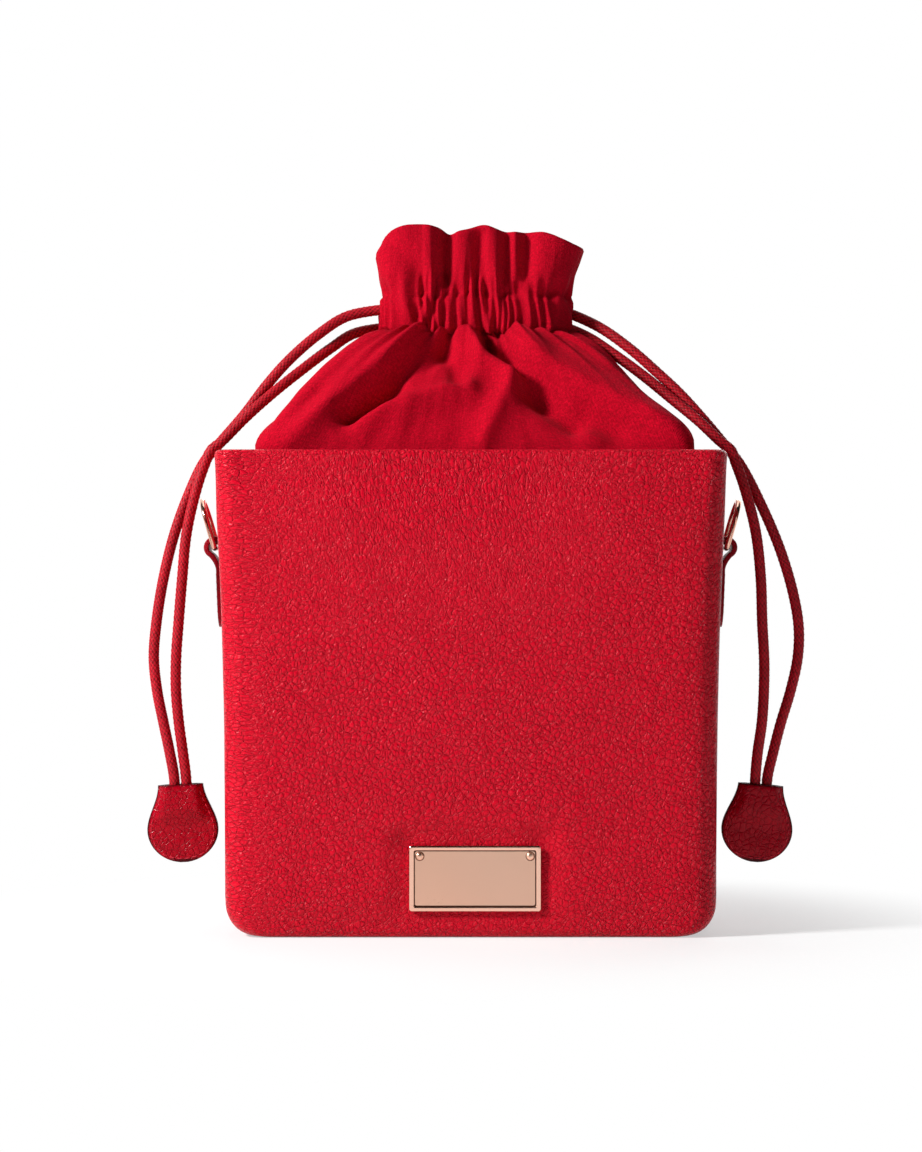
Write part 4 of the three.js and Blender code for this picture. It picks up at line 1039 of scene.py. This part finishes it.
def fob_outline():
    """The line of a fob's stitches from one upper corner round the bottom to the other."""
    def across_at(share):
        return 1 - THREAD_INSET / fob_half_width(share)

    left = [(share, -across_at(share)) for share in np.linspace(0.05, 0.88, 40)]
    bottom = [(mix(0.88, 0.95, math.sin(t)), -math.cos(t) * across_at(0.88))
              for t in np.linspace(0.15, math.pi - 0.15, 14)]
    return left + bottom + [(share, -across) for share, across in left[::-1]]


def fob_half(side, part, depth_side):
    """One leather half of a fob, and its thread."""
    def spot(share, across, extra):
        x, y, z = fob_surface(share, across, extra)
        return fob_place(side, (x, depth_side * y, z))

    shares = np.sin(np.linspace(0, 1, FOB_ROWS) * math.pi / 2) * 0.999
    crossings = np.sin(np.linspace(-1, 1, FOB_COLUMNS) * math.pi / 2)
    outer, inner = [], []
    for share in shares:
        edges = [1 - max(abs(across), share) ** 12 * 0.35 - 0.25 * (share < 0.02) for across in crossings]
        outer.append([spot(share, across, FOB_LEATHER * edge) for across, edge in zip(crossings, edges)])
        inner.append([spot(share, across, 0.0) for across in crossings])
    leather_half = sheet_object(f"{side}_fob_{part}_leather", np.array(outer), np.array(inner), fob_leather)
    rim = np.maximum(np.abs(crossings)[None, :], shares[:, None])
    rim = np.maximum(rim, 1 - 0.6 * shares[:, None] / 0.02)
    paint(leather_half, "edge", np.concatenate([smooth((rim - 0.93) / 0.05), np.ones(rim.shape)]))
    spots = np.array([spot(share, across, FOB_LEATHER + 0.02) for share, across in fob_outline()])
    thread = stitch_object(f"{side}_fob_{part}_thread", spots, np.array([0.0, depth_side, 0.0]))
    return leather_half, thread


def build_fobs():
    made = {}
    for side in FOB_PLACES:
        made[side] = []
        for part, depth_side in (("front", -1), ("back", 1)):
            leather_half, thread = fob_half(side, part, depth_side)
            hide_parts(f"{side}_fob_{part}")
            made[side] += [leather_half, thread]
        for piece in made[side]:
            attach(piece, ROOT)
    return made


# Side tabs and rings

LOOP_RADIUS = LOOP_BORE + TAB_LEATHER
TAB_TOP = body_half_sizes(HINGE_HEIGHT)[0]
WALL_LEAN = math.atan2(TAB_TOP - body_half_sizes(HINGE_HEIGHT - TAB_LENGTH)[0], TAB_LENGTH)


def tab_place(side, out, y, up):
    """From the tab's own place, outward from the wall and up along it, to the object's."""
    x = TAB_TOP + CLEAR + out * math.cos(WALL_LEAN) + up * math.sin(WALL_LEAN)
    z = HINGE_HEIGHT - out * math.sin(WALL_LEAN) + up * math.cos(WALL_LEAN)
    return side * x, side * y, z


def tab_line():
    """The strap's middle line, out and up: behind the loop, round it and down the outside."""
    middle = LOOP_BORE + TAB_LEATHER / 2
    points = [(TAB_LEATHER / 2, -TAB_LENGTH), (TAB_LEATHER / 2, -LOOP_RADIUS)]
    for degrees in range(180, -61, -12):
        turn = math.radians(degrees)
        points.append((LOOP_RADIUS + middle * math.cos(turn), middle * math.sin(turn)))
    outer = 1.5 * TAB_LEATHER + CLEAR
    points += [(outer + 1, -1.25 * LOOP_RADIUS), (outer, -1.9 * LOOP_RADIUS)]
    points += [(outer, -share * TAB_LENGTH) for share in (0.36, 0.5, 0.7, 0.85, 1.0)]
    line = catmull_rom([(x, 0, z) for x, z in points], 0.55)
    return line[:, [0, 2]]


def build_tab(name, side):
    """The folded strap with a rounded end, and its thread."""
    line = tab_line()
    along = np.gradient(line, axis=0)
    along /= np.linalg.norm(along, axis=1)[:, None]
    half_thick, round_edge, tip = TAB_LEATHER / 2, 0.55, 8.0
    rings = []
    for (out, up), (dx, dz) in zip(line, along):
        end = TAB_LENGTH + up
        half = TAB_WIDTH / 2
        if end < tip:
            half = max(TAB_WIDTH / 2 * math.sqrt(max(1 - (1 - end / tip) ** 2, 0)), 0.8)
        ring = []
        for corner_y, corner_t in ((-1, -1), (1, -1), (1, 1), (-1, 1)):
            for step in range(4):
                turn = math.atan2(corner_t, corner_y) + math.radians((step - 1.5) * 30)
                y = corner_y * (half - round_edge) + round_edge * math.cos(turn)
                t = corner_t * (half_thick - round_edge) + round_edge * math.sin(turn)
                ring.append(tab_place(side, out - dz * t, y, up + dx * t))
        rings.append(ring)
    tab = tube_object(f"{name}_tab_strap", np.array(rings), tab_leather)
    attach(tab, ROOT)
    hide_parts(f"{name}_ring_tab")
    outer_leg = line[(line[:, 0] > TAB_LEATHER + CLEAR) & (line[:, 1] < -LOOP_RADIUS)][::-1]
    inset, top, foot = TAB_WIDTH / 2 - 2, -9.5, -TAB_LENGTH + 2
    arc = [(-inset * math.cos(t), foot + inset - inset * math.sin(t)) for t in np.linspace(0, math.pi, 16)]
    path = [(-inset, z) for z in np.linspace(top, foot + inset, 12)] + arc
    path += [(inset, z) for z in np.linspace(foot + inset, top, 12)]
    path += [(y, top) for y in np.linspace(inset, -inset, 9)]
    faces_at = [np.interp(z, outer_leg[:, 1], outer_leg[:, 0]) + TAB_LEATHER / 2 for y, z in path]
    spots = np.array([tab_place(side, out, y, z) for out, (y, z) in zip(faces_at, path)])
    thread = stitch_object(f"{name}_tab_thread", spots, np.array([side, 0.0, 0.0]))
    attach(thread, ROOT)


def squarish(value):
    """Fills out a circle's cosine or sine towards a square."""
    return np.sign(value) * abs(value) ** 0.75


def build_ring(name, side):
    half_middle = TAB_WIDTH / 2 + 1.4 * CLEAR + RING_BAND / 2
    centre = RING_HEIGHT - RING_BAND - half_middle

    def arc(cx, cy, radius, start, end, steps):
        turns = np.radians(np.linspace(start, end, steps))
        return [(cx + radius * math.cos(t), cy + radius * math.sin(t)) for t in turns]

    path = arc(half_middle - RING_CORNER, RING_CORNER, RING_CORNER, -90, 0, 8)
    path += arc(0, centre, half_middle, 0, 180, 56)
    path += arc(RING_CORNER - half_middle, RING_CORNER, RING_CORNER, 180, 270, 8)
    path = np.array(path)
    along = np.roll(path, -1, axis=0) - np.roll(path, 1, axis=0)
    along /= np.linalg.norm(along, axis=1)[:, None]
    turns = np.arange(RING_SIDES) / RING_SIDES * 2 * math.pi
    section = [(RING_BAND / 2 * squarish(math.cos(t)), RING_THICKNESS / 2 * squarish(math.sin(t)))
               for t in turns]
    lean = math.radians(RING_LEAN)
    hinge_x = TAB_TOP + CLEAR + LOOP_RADIUS * math.cos(WALL_LEAN)
    hinge_z = HINGE_HEIGHT - LOOP_RADIUS * math.sin(WALL_LEAN)
    rings = []
    for (py, pz), (dy, dz) in zip(path, along):
        ring = []
        for out, thick in section:
            y, up = py + dz * out, pz - dy * out
            x = hinge_x + thick * math.cos(lean) + up * math.sin(lean)
            z = hinge_z - thick * math.sin(lean) + up * math.cos(lean)
            ring.append((side * x, side * y, z))
        rings.append(ring)
    band = tube_object(f"{name}_ring_band", np.array(rings), rose_gold, closed=True)
    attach(band, f"{name}_ring")
    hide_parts(f"{name}_d_ring")


# Plate

PLATE_BACK = -body_half_sizes(PLATE_Z + PLATE_HEIGHT / 2)[1] - CLEAR


def rounded_loop(half_width, half_height, radius):
    """Points round a rectangle with rounded corners."""
    points = []
    for quarter, (sx, sz) in enumerate(((1, 1), (-1, 1), (-1, -1), (1, -1))):
        for turn in (quarter + np.linspace(0, 1, PLATE_CORNER_STEPS + 1)) * math.pi / 2:
            points.append((sx * (half_width - radius) + radius * math.cos(turn),
                           sz * (half_height - radius) + radius * math.sin(turn)))
    return points


def build_plate():
    half_w, half_h = PLATE_WIDTH / 2, PLATE_HEIGHT / 2
    rows = [(half_w, half_h, 0, 1.0), (half_w, half_h, PLATE_THICKNESS - PLATE_EDGE, 1.0)]
    for turn in np.linspace(0, math.pi / 2, 5)[1:]:
        cut = PLATE_EDGE * (1 - math.cos(turn))
        rows.append((half_w - cut, half_h - cut, PLATE_THICKNESS - PLATE_EDGE * (1 - math.sin(turn)), 1.0))
    inner = PLATE_BORDER - BORDER_EDGE
    for turn in np.linspace(0, math.pi / 2, 5):
        cut = inner + BORDER_EDGE * math.sin(turn)
        rows.append((half_w - cut, half_h - cut, PLATE_THICKNESS - BORDER_EDGE * (1 - math.cos(turn)), 0.8))
    floor = PLATE_THICKNESS - PLATE_RECESS
    groove_start = len(rows) - 1
    for inward, out in ((0.02, floor - 0.30), (0.36, floor - 0.34), (0.42, floor)):
        rows.append((half_w - PLATE_BORDER - inward, half_h - PLATE_BORDER - inward, out, 0.8))
    rings = [[(PLATE_X + x, PLATE_BACK - out, PLATE_Z + z) for x, z in rounded_loop(w, h, r)]
             for w, h, out, r in rows]
    around = len(rings[0])
    plate = tube_object("blank_plate", np.array(rings), rose_gold)
    plate.data.materials.append(plate_groove_shade)
    plate.data.materials.append(plate_gold)
    # The walls down into the recess take the dark metal as painted shade; the recessed face takes plate_gold.
    for polygon in plate.data.polygons:
        polygon.use_smooth = len(polygon.vertices) == 4
        if polygon.index >= groove_start * around:
            polygon.material_index = 1 if len(polygon.vertices) == 4 else 2
    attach(plate, ROOT)
    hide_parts("name_plate")


def build_pins():
    """Domed pins, each in a thin dark ring: painted shade of the groove round it."""
    profile = [(1.25, 0.0), (1.25, 0.06), (1.03, 0.08), (1.0, 0.12), (0.93, 0.40), (0.78, 0.68), (0.55, 0.88)]
    profile += [(0.28, 0.98), (0.06, 1.0)]
    for name, side in (("left", -1), ("right", 1)):
        x = PLATE_X + side * (PLATE_WIDTH / 2 - PIN_INSET)
        z = PLATE_Z + PLATE_HEIGHT / 2 - PIN_BELOW_TOP
        base = PLATE_BACK - (PLATE_THICKNESS - PLATE_RECESS) - 0.02
        turns = np.arange(PIN_SIDES) / PIN_SIDES * 2 * math.pi
        rings = [[(x + PIN_RADIUS * radius * math.cos(t), base - PIN_HEIGHT * out,
                   z + PIN_RADIUS * radius * math.sin(t)) for t in turns] for radius, out in profile]
        pin = tube_object(f"{name}_pin_dome", np.array(rings), plate_gold)
        pin.data.materials.append(plate_groove_shade)
        # The flat ring at the pin's foot takes the dark metal as painted shade.
        for polygon in pin.data.polygons:
            polygon.material_index = 1 if polygon.index < 2 * PIN_SIDES else 0
        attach(pin, ROOT)
        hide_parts(f"{name}_plate_pin")


def dress_hidden_nodes():
    """Materials for the solids that stay: base, boards, padding and lining."""
    looks = {"leather_base": leather, "wall_padding": foam_material, "lining_bag": lining_cloth}
    for name in ("front_board", "back_board", "left_board", "right_board", "base_board"):
        looks[name] = board_material
    for name, material in looks.items():
        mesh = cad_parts[name].data
        mesh.materials.clear()
        mesh.materials.append(material)


# Stage

def build_stage():
    """A floor that bends up into a wall behind. The camera sees it white away from the object."""
    front, back, bend, top, half_width = -3000.0, 1200.0, 800.0, 4000.0, 4000.0
    profile = [(front, 0.0), (back, 0.0)]
    profile += [(back + bend * math.sin(t), bend - bend * math.cos(t))
                for t in np.linspace(0.1, math.pi / 2, 12)]
    profile.append((back + bend, top))
    points = [(side * half_width, y, z) for y, z in profile for side in (-1, 1)]
    faces = [(2 * at, 2 * at + 1, 2 * at + 3, 2 * at + 2) for at in range(len(profile) - 1)]
    s = Shader("pale_floor")
    s.set(color=(0.93, 0.93, 0.93), roughness=0.9, specular=0.1)
    white = s.node("ShaderNodeEmission", {"Color": (1, 1, 1, 1), "Strength": 1.0}).outputs[0]
    rays = s.node("ShaderNodeLightPath")
    seen = s.math("MAXIMUM", rays.outputs["Is Camera Ray"], rays.outputs["Is Glossy Ray"])
    place = s.node("ShaderNodeTexCoord").outputs["Object"]
    reach = s.node("ShaderNodeVectorMath", {0: place}, operation="LENGTH").outputs["Value"]
    away = s.times(seen, s.ramp(reach, 0.11, 0.24, 0.50, 1.0))
    both = s.node("ShaderNodeMixShader", {0: away, 1: s.main.outputs[0], 2: white})
    s.link(both.outputs[0], s.output.inputs["Surface"])
    floor = link_mesh("floor", points, faces, s.material)


def area_light(name, place, target, size, power):
    data = bpy.data.lights.new(name, "AREA")
    data.shape = "RECTANGLE"
    data.size, data.size_y = size
    data.energy = power
    lamp = bpy.data.objects.new(name, data)
    bpy.context.scene.collection.objects.link(lamp)
    lamp.location = place
    lamp.rotation_euler = (Vector(target) - Vector(place)).to_track_quat("-Z", "Y").to_euler()


def build_lights():
    area_light("key", (-1.0, -0.54, 0.80), (0, 0, 0.14), (0.24, 0.24), 26)
    area_light("fill", (1.3, -1.3, 0.5), (0, 0, 0.14), (0.9, 0.9), 3)
    area_light("top", (0.0, 0.3, 1.6), (0, 0, 0.1), (1.0, 0.8), 4)
    area_light("back", (0.3, 1.7, 0.9), (0, 0, 0.14), (1.4, 1.2), 14)
    world = bpy.data.worlds.new("studio")
    world.use_nodes = True
    nodes = Nodes(world.node_tree)
    background = nodes.tree.nodes["Background"]
    background.inputs["Strength"].default_value = 0.20
    rays = nodes.node("ShaderNodeLightPath")
    seen = nodes.math("MAXIMUM", rays.outputs["Is Camera Ray"], rays.outputs["Is Transmission Ray"])
    white = nodes.node("ShaderNodeBackground", {"Strength": 1.0})
    both = nodes.node("ShaderNodeMixShader", {0: seen, 1: background.outputs[0], 2: white.outputs[0]})
    nodes.link(both.outputs[0], nodes.tree.nodes["World Output"].inputs["Surface"])
    bpy.context.scene.world = world
    bpy.context.scene.view_settings.view_transform = "Standard"


make_camera()
fobs = build_fobs()
build_cords()
build_box()
build_top()
for ring_name, ring_side in (("left", -1), ("right", 1)):
    build_tab(ring_name, ring_side)
    build_ring(ring_name, ring_side)
build_plate()
build_pins()
dress_hidden_nodes()
build_stage()
build_lights()
